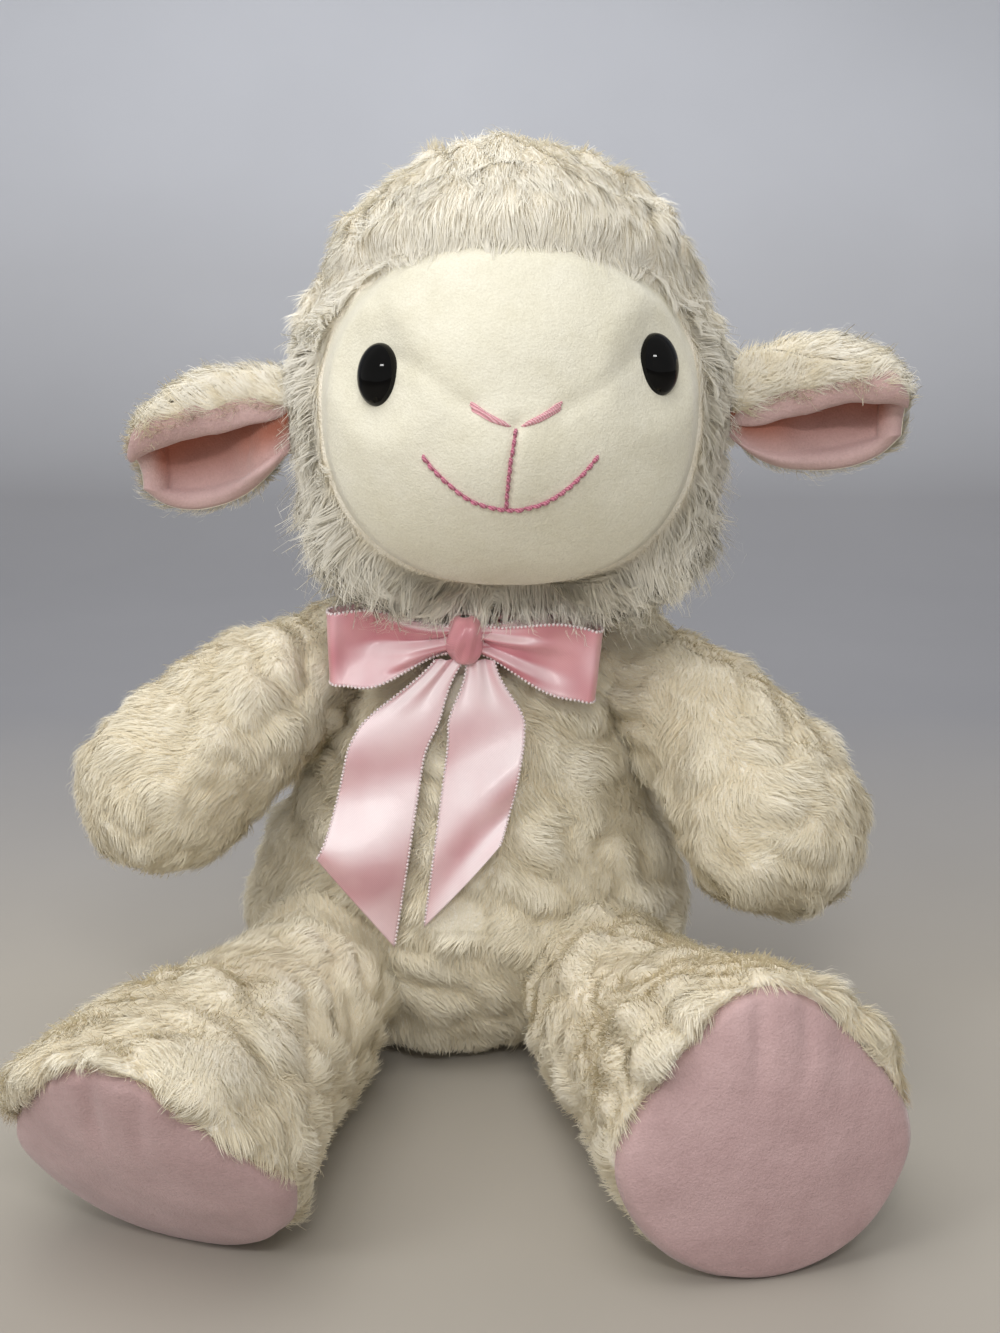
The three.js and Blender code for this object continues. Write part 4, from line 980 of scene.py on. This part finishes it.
def make_head():
    def share_at(points):
        """1 on the face's seam, less within it. Behind the chin the hood starts where the face ends."""
        local = points - HEAD
        chin = smoothstep(-local[..., 2], 35, 50) * smoothstep(local[..., 1], -21, 5)
        return np.where(local[..., 1] < 0, face_share(local[..., 0], local[..., 2]) + 0.6 * chin, 9.0)

    def fringe(points):
        """1 over the forehead, where the pile is brushed smooth, and 0 elsewhere."""
        local = points - HEAD
        return (smoothstep(local[..., 2], 38, 50) * smoothstep(-local[..., 1], -5, 15)
                * (1 - smoothstep(np.abs(local[..., 0]), 30, 50)))

    grid = head_grid(110, 180)
    clear = (smoothstep(share_at(grid), 1.08, 1.25) * (1 - 0.65 * fringe(grid)))[..., None]
    tuft = (9, 4)
    crown = smoothstep(grid[..., 2] - HEAD[2], 15, 50)[..., None]
    beard = (smoothstep(HEAD[2] - grid[..., 2], 25, 52) * smoothstep(share_at(grid), 1.02, 1.2)
             * (1 - smoothstep(share_at(grid), 1.45, 1.6)))[..., None]
    swell = puffed(grid, True, HOOD_PUFF, tuft) - grid + unit(grid - HEAD) * (1.5 + 2.6 * crown)
    grid = grid + swell * clear + np.array([0, -2.0, -4.5]) * beard
    dress(grid_object("hood_fabric", grid, True), "backing", "fur", "head", "head_hood", fill=0.85)

    # Under the head the fabric is drawn in over the ball of the neck.
    way = bearings(np.linspace(0, math.radians(100), 40), around(120))
    neck = NECK + way * (NECK_BALL + OVER_BALL + 0.5 * lumps(way * NECK_BALL, 7, 3))[..., None]
    dress(grid_object("neck_fabric", neck, True), "backing", "fur", "head", fill=0.5)

    def keep_nape(points):
        local = points - HEAD
        reach = np.linalg.norm(local, axis=1)
        return (points[:, 2] > NECK[2] + 1) & (reach > head_reach(unit(local)) + 2.5)

    def keep(points):
        return share_at(points) > 1.015

    def keep_ruff(points):
        local = points - HEAD
        low = smoothstep(-local[:, 2], -30, 5)
        neck = (local[:, 2] < -40) & (share_at(points) < 1.75) & (local[:, 1] < 25)
        return (share_at(points) > 1.02) & ((share_at(points) < 1.05 + 0.3 * low) | neck)

    def flow(points):
        local = points - HEAD
        down = falling(points)
        # On the crown the pile lies forward in front and back behind.
        down[:, 1] = np.where(local[:, 1] < 8, -0.7, 0.7) * smoothstep(local[:, 2], 20, 60)
        ring = 1 - smoothstep(share_at(points), 1.1, 1.4)
        ring = ring * (1 - smoothstep(local[:, 2], 10, 34))
        away = unit(np.stack([local[:, 0], 0 * ring, local[:, 2] + 8], 1))
        # Next to the seam some of it lies inwards over the edge of the face.
        inward = (1 - smoothstep(share_at(points), 1.06, 1.17)) * smoothstep(local[:, 2], -46, -26)
        ring = ring * (1 - 1.8 * inward * smoothstep(lumps(points, 7, 61), -0.4, 0.2))
        # Under the chin it lies forward.
        beard = smoothstep(-local[:, 2], 42, 56)
        down[:, 1] -= 1.2 * beard
        return down + away * (ring * 0.9)[:, None]

    def shape(centres, height, length):
        low = smoothstep(-(centres[:, 2] - HEAD[2]), 25, 50)
        return height * (1 + 0.5 * low), length * (1 + 0.35 * low + 0.5 * fringe(centres))

    grow("hood_pile", "head", grid, True, dict(HOOD_STYLE, tuft=tuft, calm=fringe), flow, 23, keep, shape)
    grow("ruff_pile", "head", grid, True, dict(RUFF_STYLE, tuft=tuft), flow, 27, keep_ruff, shape)
    style = dict(BODY_STYLE, tuft=tuft, height=2.4, length=5.5, stray_turn=16)
    grow("nape_pile", "head", neck, True, style, falling, 29, keep_nape)
    make_face()


def make_face():
    turn = around(160)
    power = 2 / np.where(np.sin(turn) > 0, *FACE_POWERS)
    outline_x = np.sign(np.cos(turn)) * np.abs(np.cos(turn)) ** power * FACE_WIDE
    outline_z = np.sign(np.sin(turn)) * np.abs(np.sin(turn)) ** power * FACE_TALL
    rings = np.concatenate([np.linspace(0, 1, 64), [1.03, 1.05]])[:, None]
    x, z = rings * outline_x, rings * outline_z - FACE_DROP
    edge = smoothstep(rings + 0 * x, 0.93, 1.05)
    grid, normal = face_spot(x, z)
    grid = grid - normal * (edge * 3.2)[..., None]
    wrinkle = lumps(grid, 17, 3) * 0.35 * (1 - edge)
    grid = grid + normal * wrinkle[..., None]
    dress(grid_object("face_velour_panel", grid, True), "face", "face", "head", "face_panel", fill=0.85)
    make_eyes()
    make_stitches()


def make_eyes():
    for side, (x, z) in (("left", EYES[1]), ("right", EYES[0])):
        middle, normal = face_spot(x, z)
        normal = unit(normal + np.array([0, -0.25, 0]))
        over = unit(UP - normal * np.dot(UP, normal))
        across = np.cross(over, normal)
        middle = middle - normal * 0.4
        polar = np.linspace(0, math.pi / 2, 16)[:, None]
        turn = around(48)
        wide, tall, out = EYE_WIDE * np.sin(polar), EYE_TALL * np.sin(polar), EYE_OUT * np.cos(polar)
        dome = (middle + across * (wide * np.cos(turn))[..., None] + over * (tall * np.sin(turn))[..., None]
                + normal * (out + 0 * turn)[..., None])
        back = np.stack([dome[-1] - normal * 1.2, (dome[-1] - middle) * 0.35 + middle - normal * 1.2,
                         (dome[-1] - middle) * 0.3 + middle - normal * 8])
        grid = np.concatenate([dome, back, np.tile(middle - normal * 8, (1, 48, 1))])
        dress(grid_object(f"{side}_eye_dome", grid, True), "eye", "eye", "head", f"{side}_eye")


def lay_stitches(x, z, radius, rng):
    """Back stitches along a path on the face, each dipping into the fabric at its ends."""
    steps = np.hypot(np.diff(x), np.diff(z))
    length = np.concatenate([[0], np.cumsum(steps)])
    count = int(round(length[-1] / STITCH_PITCH))
    parts = []
    for k in range(count):
        at = np.linspace(k + 0.03, k + 0.97, 7) * length[-1] / count
        sx, sz = np.interp(at, length, x), np.interp(at, length, z)
        away = rng.normal() * 0.08
        lift = radius * np.array([-0.6, 0.3, 0.75, 0.85, 0.75, 0.3, -0.6])
        spots, _ = face_spot(sx + away, sz + away, lift)
        parts.append(tube(spots, radius, 8, [0.7, 0.95, 1.05, 1.1, 1.05, 0.95, 0.7]))
    return parts


def make_stitches():
    rng = np.random.default_rng(5)
    x, z = smile_path(60)
    parts = lay_stitches(x, z, 0.62, rng)
    fall = np.linspace(0, 1, 20)
    x, z = 1.6 - 2.8 * fall - 0.5 * np.sin(math.pi * fall), -5.8 - 23.4 * fall
    parts += lay_stitches(x, z, 0.6, rng)
    dress(make_mesh("mouth_thread", *joined(parts)), "rose", "thread", "head", "mouth_stitch")
    parts = []
    for sign in (-1, 1):
        for k in range(7):
            off = (k - 3) * 0.42
            s = np.linspace(0, 1, 9)
            thin = 0.35 + 0.65 * s
            sx = 1.5 + sign * (1.6 + 10.9 * s) + off * 0.25 * sign
            sz = -5.0 + 5.2 * s ** 1.15 + off * thin + 0.1 * np.sin(9 * s + k)
            sx = sx + sign * 0.5 * (s == 1) * rng.random()
            bow = 0.45 * np.sin(math.pi * np.clip(s, 0.02, 0.98)) ** 0.5 - 0.1 * abs(k - 3)
            spots, _ = face_spot(sx, sz, bow)
            parts.append(tube(spots, 0.36, 6, [0.5, 0.9, 1, 1, 1, 1, 1, 0.95, 0.6]))
    dress(make_mesh("nose_thread", *joined(parts)), "blush", "thread", "head", "nose_stitch")


def make_ear(side, sign, place, line, rim):
    """line is how far across the cup the pink shows, from root to tip. rim is its upper roll's radius."""
    body = f"{side}_ear"
    u, v = np.meshgrid(np.linspace(0, 1, 60), np.linspace(0, 1, 56), indexing="ij")
    mid = ear_spots(sign, *place, u, v)
    normal = grid_normals(mid, False)
    # The cup opens forward, so its normals are turned to point out of its back.
    normal = normal * outward(mid, normal, (0, 1, 0))
    edge = np.minimum(np.minimum(v, 1 - v), 0.9 * (1 - u)) * 2
    # The furry back is a closed panel behind the lining.
    thick = 3.6 * np.sqrt(np.clip(edge / 0.3, 0.02, 1))
    thick = thick + 1.3 * lumps(mid, 9, 5 + sign) * smoothstep(edge, 0, 0.3)
    outer = mid + normal * thick[..., None]
    back = mid + normal * 0.2
    made = grid_object(f"{body}_fabric", panel(outer, back), True)
    dress(made, "backing", "fur", body, f"{body}_back", fill=0.3)
    # The lining rolls over the lower edge and the tip in a soft rim, and ends under the fold.
    along = np.linspace(0, 1, 60)
    share = np.interp(along, np.linspace(0, 1, len(line)), line)
    mid = ear_spots(sign, *place, u, v * np.minimum(share + 0.12, 1)[:, None])
    curl = np.sqrt(np.maximum(1 - ((edge - 0.15) / 0.15) ** 2, 0)) * (edge < 0.3)
    roll = curl * 2.3 * smoothstep(u, 0, 0.12) * (1 - smoothstep(v, 0.6, 0.8))
    crumple = lumps(mid, 12, 9 + sign) * 1.5 * smoothstep(edge, 0.15, 0.5)
    front = mid - normal * ((1.3 + roll + crumple) * (1 - 0.8 * smoothstep(v, 0.8, 1)))[..., None]
    behind = mid + normal * (0.1 + 0.8 * curl)[..., None]
    pad = grid_object(f"{body}_velour", panel(behind, front), True)
    # Painted shade: the lining is darkened to a warm brown deep in the cup.
    hollow_shade = smoothstep(v, 0.06, 0.52) * (1 - smoothstep(u, 0.86, 1))
    depth = pad.data.attributes.new("hollow_shade", "FLOAT", "POINT")
    depth.data.foreach_set("value", panel(0 * v, hollow_shade).ravel())
    dress(pad, "pink", "pink", body, f"{body}_lining", fill=0.3)

    # The fur of the back folds over the top of the cup, down to a thick pink roll over the hollow.
    low, high, deepest = (ear_spots(sign, *place, along, np.full(60, at)) for at in (0.0, 1.0, 0.5))
    inside = ear_spots(sign, *place, along, share)
    across = unit(high - low)
    forward = unit((low + high) / 2 - deepest)
    open_at = low + (high - low) * share[:, None]
    lip = inside + (open_at - inside) * 0.8 + across * (lumps(inside, 16, 3 + sign) * 1.5)[:, None]
    down = np.linspace(0, 1, 24)[None, :, None]
    plump = (np.sin(math.pi * down) * 3.5 + 1.0) * (1 - along[:, None, None]) ** 0.4
    fold = lip[:, None] * (1 - down) + high[:, None] * down + forward[:, None] * plump
    fold = fold + forward[:, None] * (lumps(fold, 9, 12 + sign) * 1.2)[..., None]
    under = fold - forward[:, None] * (1.2 + 0 * down)
    dress(grid_object(f"{body}_fold", panel(fold, under), True), "backing", "fur", body, fill=0.3)
    ring = around(20)[:, None]
    size = rim * np.maximum(np.sin(math.pi * (0.04 + 0.92 * along)), 0.05)[:, None, None] ** 0.5
    size = size * (1 + 0.14 * lumps(lip, 9, 2 + sign))[:, None, None]
    roll = lip[:, None] + size * (np.cos(ring) * across[:, None] * 1.15 + np.sin(ring) * forward[:, None])
    dress(grid_object(f"{body}_roll", shut(roll), True), "pink", "pink", body, fill=0.5)

    flow = lying((sign * 0.8, -0.4, 0.5))
    style = dict(EAR_STYLE, tuft=(9, 12 + sign))
    # The light comes through the pile along the rim, so it is lit a little from the front.
    back_style = dict(style, turned=np.array([0, -0.4, 0.15]), height=1.8, shade=1.6)
    grow(f"{body}_pile", body, outer, False, back_style, flow, 31 + sign, towards=(0, 1, 0))
    brow = dict(style, height=2.6, length=5.5, stray_turn=22, fuzz=0.6)
    grow(f"{body}_brow", body, fold[:, 2:], False, brow, flow, 35 + sign, towards=(0, -1, 0.5))


def make_arm_piece(arm):
    body = f"{arm.side}_arm"
    tuft = (15, 6 + arm.sign)
    grid = arm.grid(96)
    paw = smoothstep((grid - arm.tip) @ arm.faces, -34, 4)[..., None]
    grid = grid + unit(grid - arm.tip) * paw * arm.plump
    grid = over_ball(puffed(grid, True, ARM_PUFF, tuft), arm)
    dress(grid_object(f"{body}_fabric", grid, True), "backing", "fur", body, f"{body}_skin", fill=0.7)

    def keep(points):
        return arm.past_root(points) > -arm.ball * 0.9

    flow = lying(arm.tangent[-1] + np.array([0, 0, -0.5]))
    grow(f"{body}_pile", body, grid, True, dict(BODY_STYLE, tuft=tuft), flow, 41 + arm.sign, keep)


def sole_wide(z):
    """The sole is widest below its middle and narrows towards its top."""
    return SOLE_WIDE * (1 - 0.34 * smoothstep(z, -12, 40))


def sole_tall(z):
    return np.where(z > 0, SOLE_UP, SOLE_DOWN)


def make_leg_piece(leg):
    body = f"{leg.side}_leg"
    plain = leg.grid(120)
    away = plain - leg.tip
    high = away @ leg.over
    under = (smoothstep(away @ leg.faces, -1, 4) * (1 - smoothstep(np.hypot(
        away @ leg.across / sole_wide(high), high / sole_tall(high)), 0.98, 1.06)))[..., None]
    tuft = (16, 9 + leg.sign)
    grid = puffed(plain, True, LEG_PUFF, tuft) * (1 - under) + (plain - leg.faces * 4.5) * under
    grid = over_ball(grid, leg)
    grid[..., 2] = np.maximum(grid[..., 2], FLOOR_GAP)
    dress(grid_object(f"{body}_fabric", grid, True), "backing", "fur", body, f"{body}_skin", fill=0.75)

    def sole_share(points):
        away = points - leg.tip
        x, z = away @ leg.across, away @ leg.over
        return np.hypot(x / sole_wide(z), z / sole_tall(z)), away @ leg.faces

    def keep(points):
        share, ahead = sole_share(points)
        covered = (share < 1.02) & (ahead > -1)
        return (leg.past_root(points) > -leg.ball * 0.7) & ~covered

    def flow(points):
        ahead = 2 * smoothstep((points - leg.tip) @ leg.over, -16, 14) - 1
        return leg.faces * ahead[:, None] + np.array([0, 0, -0.15])

    def shape(centres, height, length):
        low = smoothstep(centres[:, 2], 0, 12)
        return height * (0.25 + 0.75 * low), length

    grow(f"{body}_pile", body, grid, True, dict(BODY_STYLE, tuft=tuft), flow, 51 + leg.sign, keep, shape)

    # The sole is a padded disc with soft creases that run down from its top.
    turn = around(120)
    ring = np.linspace(0, 1, 44)[:, None]
    z = ring * np.sin(turn) * (sole_tall(np.sin(turn)) + 1)
    x = ring * np.cos(turn) * (sole_wide(z) + 1)
    crease = np.zeros(x.shape)
    for where, deep in ((-7, 1.3), (6, 1.0), (17, 0.6)):
        crease += deep * np.exp(-((x - where - 0.12 * z) / 2.6) ** 2) * smoothstep(z, 6, 30)
    bulge = 11.3 * np.sqrt(np.maximum(1 - (ring * 0.94) ** 2, 0)) + 0 * x
    grid = (leg.tip + leg.across * x[..., None] + leg.over * z[..., None]
            + leg.faces * (bulge - crease - 2.5 * smoothstep(ring + 0 * x, 0.94, 1))[..., None])
    grid = grid + leg.faces * (lumps(grid, 15, 8) * 0.5)[..., None]
    turned_in = leg.tip + (grid[-1:] - leg.tip) * 0.95 - leg.faces * 5
    grid = np.concatenate([grid, turned_in])
    grid[..., 2] = np.maximum(grid[..., 2], 0.4)
    sole = f"{leg.side}_sole"
    dress(grid_object(f"{sole}_velour", grid, True), "sole", "pink", body, sole, fill=0.6)


# Ribbon

KNOT = np.array([3.0, -47.0, 145.5])
# Side, sign, how far a tail drops, how far aside its end hangs, how far it spreads below the knot, and the
# slant that its end is cut at.
TAILS = (("left", 1, 81, -11, 5, 29), ("right", -1, 88, -14, 16, 31))
TAIL_LEAN = 20


def tail_start(sign):
    return KNOT + np.array([sign * 4.8, 0, -9.6])


def tail_middle(sign, aside, spread, u):
    """How far aside the middle of a tail hangs, at a share of its drop."""
    return sign * spread * np.sin(math.pi / 2 * np.minimum(u / 0.33, 1)) + aside * u


def picots(grid):
    """Small loops of thread along both long edges of a ribbon grid."""
    parts = []
    for edge in (grid[:, 0], grid[:, -1]):
        steps = np.linalg.norm(np.diff(edge, axis=0), axis=1)
        length = np.concatenate([[0], np.cumsum(steps)])
        for at in (np.arange(int(length[-1] / PICOT_PITCH)) + 0.5) * PICOT_PITCH:
            parts.append([np.interp(at, length, edge[:, k]) for k in range(3)])
    parts = np.array(parts)
    polar = np.linspace(0.35, math.pi - 0.35, 4)
    beads = parts[:, None, None] + bearings(polar, around(5)) * PICOT_RADIUS
    quads = grid_quads(4, 5, True)
    start = (np.arange(len(parts)) * 20)[:, None, None]
    return beads.reshape(-1, 3), (quads[None] + start).reshape(-1, 4)


def ribbon(name, body, grid, node, sheen, look="satin"):
    """sheen is how pale the painted highlight makes the ribbon where it faces up to the light."""
    made = shell(name, grid, SATIN)
    normal = grid_normals(grid, False)
    # Painted highlight, strongest where the ribbon faces up, in soft streaks.
    tilt = normal[..., 2] * np.where(normal[..., 1] < 0, 1, -1)
    streak = lumps(grid * np.array([1, 1, 0.3]), 5, 3)
    painted_highlight = (smoothstep(tilt, -0.15, 0.62) * (sheen + 0.12 * streak)).ravel()
    made.data.attributes.new("painted_highlight", "FLOAT", "POINT").data.foreach_set("value", np.tile(painted_highlight, 2))
    dress(made, look, "satin", body, node)
    trim = make_mesh(name + "_picots", *picots(grid))
    dress(trim, "picot", "satin", body)


def make_bow():
    for side, sign, drop_angle, lean in (("left", 1, 12, 4), ("right", -1, 3, 14)):
        a, v = np.meshgrid(np.linspace(0.12, 2 * math.pi - 0.12, 90), np.linspace(-1, 1, 26), indexing="ij")
        reach = (1 - np.cos(a)) / 2
        out = 38.5 * reach ** 0.9
        deep = -6.5 * np.sin(a) * np.sqrt(reach) * 1.25
        front = np.where(a < math.pi, 1.0, 0.0)
        open_up = smoothstep(reach, 0, 0.72)
        half = RIBBON / 2 * (0.36 + 0.64 * open_up)
        fan = 1 - smoothstep(reach, 0.05, 0.9)
        pleat = (1.5 * np.sin(v * 6 + sign + 2 * front) + 0.5 * np.sin(v * 13 + 1)) * fan
        dish = front * 4.6 * (1 - (v + 0.15 * sign) ** 2) * np.exp(-((reach - 0.62) / 0.24) ** 2)
        ripple = 1.0 * np.sin(5 * reach + 2.2 * v + sign) * open_up
        lip = front * 2.2 * np.exp(-((reach - 0.95) / 0.07) ** 2)
        y = deep + pleat + dish + ripple - lip
        z = v * half + 0.8 * np.sin(4 * reach) * v
        top = np.radians(lean)
        y2 = y * math.cos(top) + z * math.sin(top) * 0.6
        z2 = z * math.cos(top)
        droop = math.radians(drop_angle)
        x3 = out * math.cos(droop) - z2 * math.sin(droop) * -0.5
        z3 = z2 * math.cos(droop) - out * math.sin(droop)
        start = KNOT + np.array([sign * 4.4, 0, 0])
        grid = start + np.stack([sign * x3, y2, z3], -1)
        ribbon(f"{side}_bow_satin", "torso", grid, f"{side}_bow_loop", 0.5)

    for side, sign, drop, aside, spread, cut in TAILS:
        u, v = np.meshgrid(np.linspace(0, 1, 90), np.linspace(0, 1, 26), indexing="ij")
        half = (9 + (RIBBON - 9) * smoothstep(u, 0, 0.22)) / 2
        slant = cut * (v if sign > 0 else 1 - v) * u ** 2.2
        middle = tail_middle(sign, aside, spread, u)
        lean = TAIL_LEAN * np.sin(math.pi / 2 * u)
        wave = 2.0 * np.sin(10.5 * u + 2.4 * v + sign) * smoothstep(u, 0.1, 0.4) + 1.4 * np.sin(5 * u + 1.5)
        curl = 1.6 * (2 * v - 1) ** 2 * smoothstep(u, 0.2, 0.6)
        pleat = 0.9 * np.sin(v * 12) * (1 - smoothstep(u, 0, 0.2))
        z = slant - drop * u + 3.4 * (1 - u) ** 8
        grid = tail_start(sign) + np.stack([middle + (2 * v - 1) * half, curl + pleat - lean - wave, z], -1)
        # The tails wear the paler copy of the satin, as painted highlight.
        ribbon(f"{side}_tail_satin", f"{side}_tail", grid, f"{side}_ribbon_tail", 0.8, "painted_lit_satin")

    # The knot: the ribbon drawn round the middle in tight folds.
    polar = np.linspace(0.12, math.pi - 0.12, 40)[:, None]
    turn = around(72)
    fold = 1 + 0.07 * np.sin(2 * turn + 4 * polar) + 0.035 * np.sin(8 * turn + 3 * polar)
    wide = 5.8 * np.sin(polar) ** 0.6 * fold
    high = 7.6 * np.cos(polar) + 0 * turn
    grid = KNOT + np.stack([wide * np.cos(turn), wide * np.sin(turn) * 1.15, high], -1)
    dress(grid_object("knot_satin", grid, True), "satin", "satin", "torso", "ribbon_knot")

    # The band: the ribbon's width gathered in three folds round the neck.
    turn = around(128)
    fold = np.linspace(0, 1, 31)[:, None]
    radius = NECKBAND + 1.3 * np.sin(fold * 6 * math.pi + 2 * np.sin(turn)) + 0.3 * np.sin(5 * turn)
    z = 143.6 + 8.4 * fold + 0.4 * np.sin(3 * turn + 1)
    grid = np.stack([NECK[0] + radius * np.cos(turn), NECK[1] + radius * np.sin(turn), z + 0 * radius], -1)
    band = shell("neckband_satin", grid, SATIN, True)
    dress(band, "satin", "satin", "torso", "ribbon_neckband")


def dress_frame():
    """Materials for the CAD nodes that stay: filling, seams, hem, thread and washers."""
    looks = {"stuffing": "fibre", "seam": "cord", "hem": "cord", "thread": "cord", "washer": "washer"}
    for name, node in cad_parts.items():
        look = looks.get(name.split("_")[-1])
        if look:
            node.data.materials.clear()
            node.data.materials.append(LOOKS[look])


def make_floor():
    """A floor that sweeps up behind into a wall."""
    s = np.linspace(0, 1, 40)
    y = np.concatenate([[-3000, -1500], 600 + 500 * np.sin(s * math.pi / 2), [1100]])
    z = np.concatenate([[0, 0], 500 - 500 * np.cos(s * math.pi / 2), [3000]])
    x = np.linspace(-4000, 4000, 3)
    floor = grid_object("floor", np.stack(np.broadcast_arrays(x, y[:, None], z[:, None]), -1))
    floor.data.materials.append(LOOKS["floor"])


make_camera()
light_up()
make_floor()
arms = [make_arm("left", (0.62, -0.62, -0.51), 2, 7, 3), make_arm("right", (-0.69, -0.64, -0.34), 5, 0, 0)]
legs = [make_leg("left", (58, 90), (74, 129), (85, 161, 12, 7)),
        make_leg("right", (56, 90), (70, 130), (80, 164, 20, -28))]
make_torso(arms + legs)
make_head()
make_ear("left", 1, (5, 0, 0, 30), (0.3, 0.5, 0.66, 0.77, 0.85, 0.93), 5.6)
make_ear("right", -1, (9, 18, 24, 26), (0.64, 0.7, 0.76, 0.8, 0.84, 0.9), 6.2)
for arm in arms:
    make_arm_piece(arm)
for leg in legs:
    make_leg_piece(leg)
make_bow()
dress_frame()
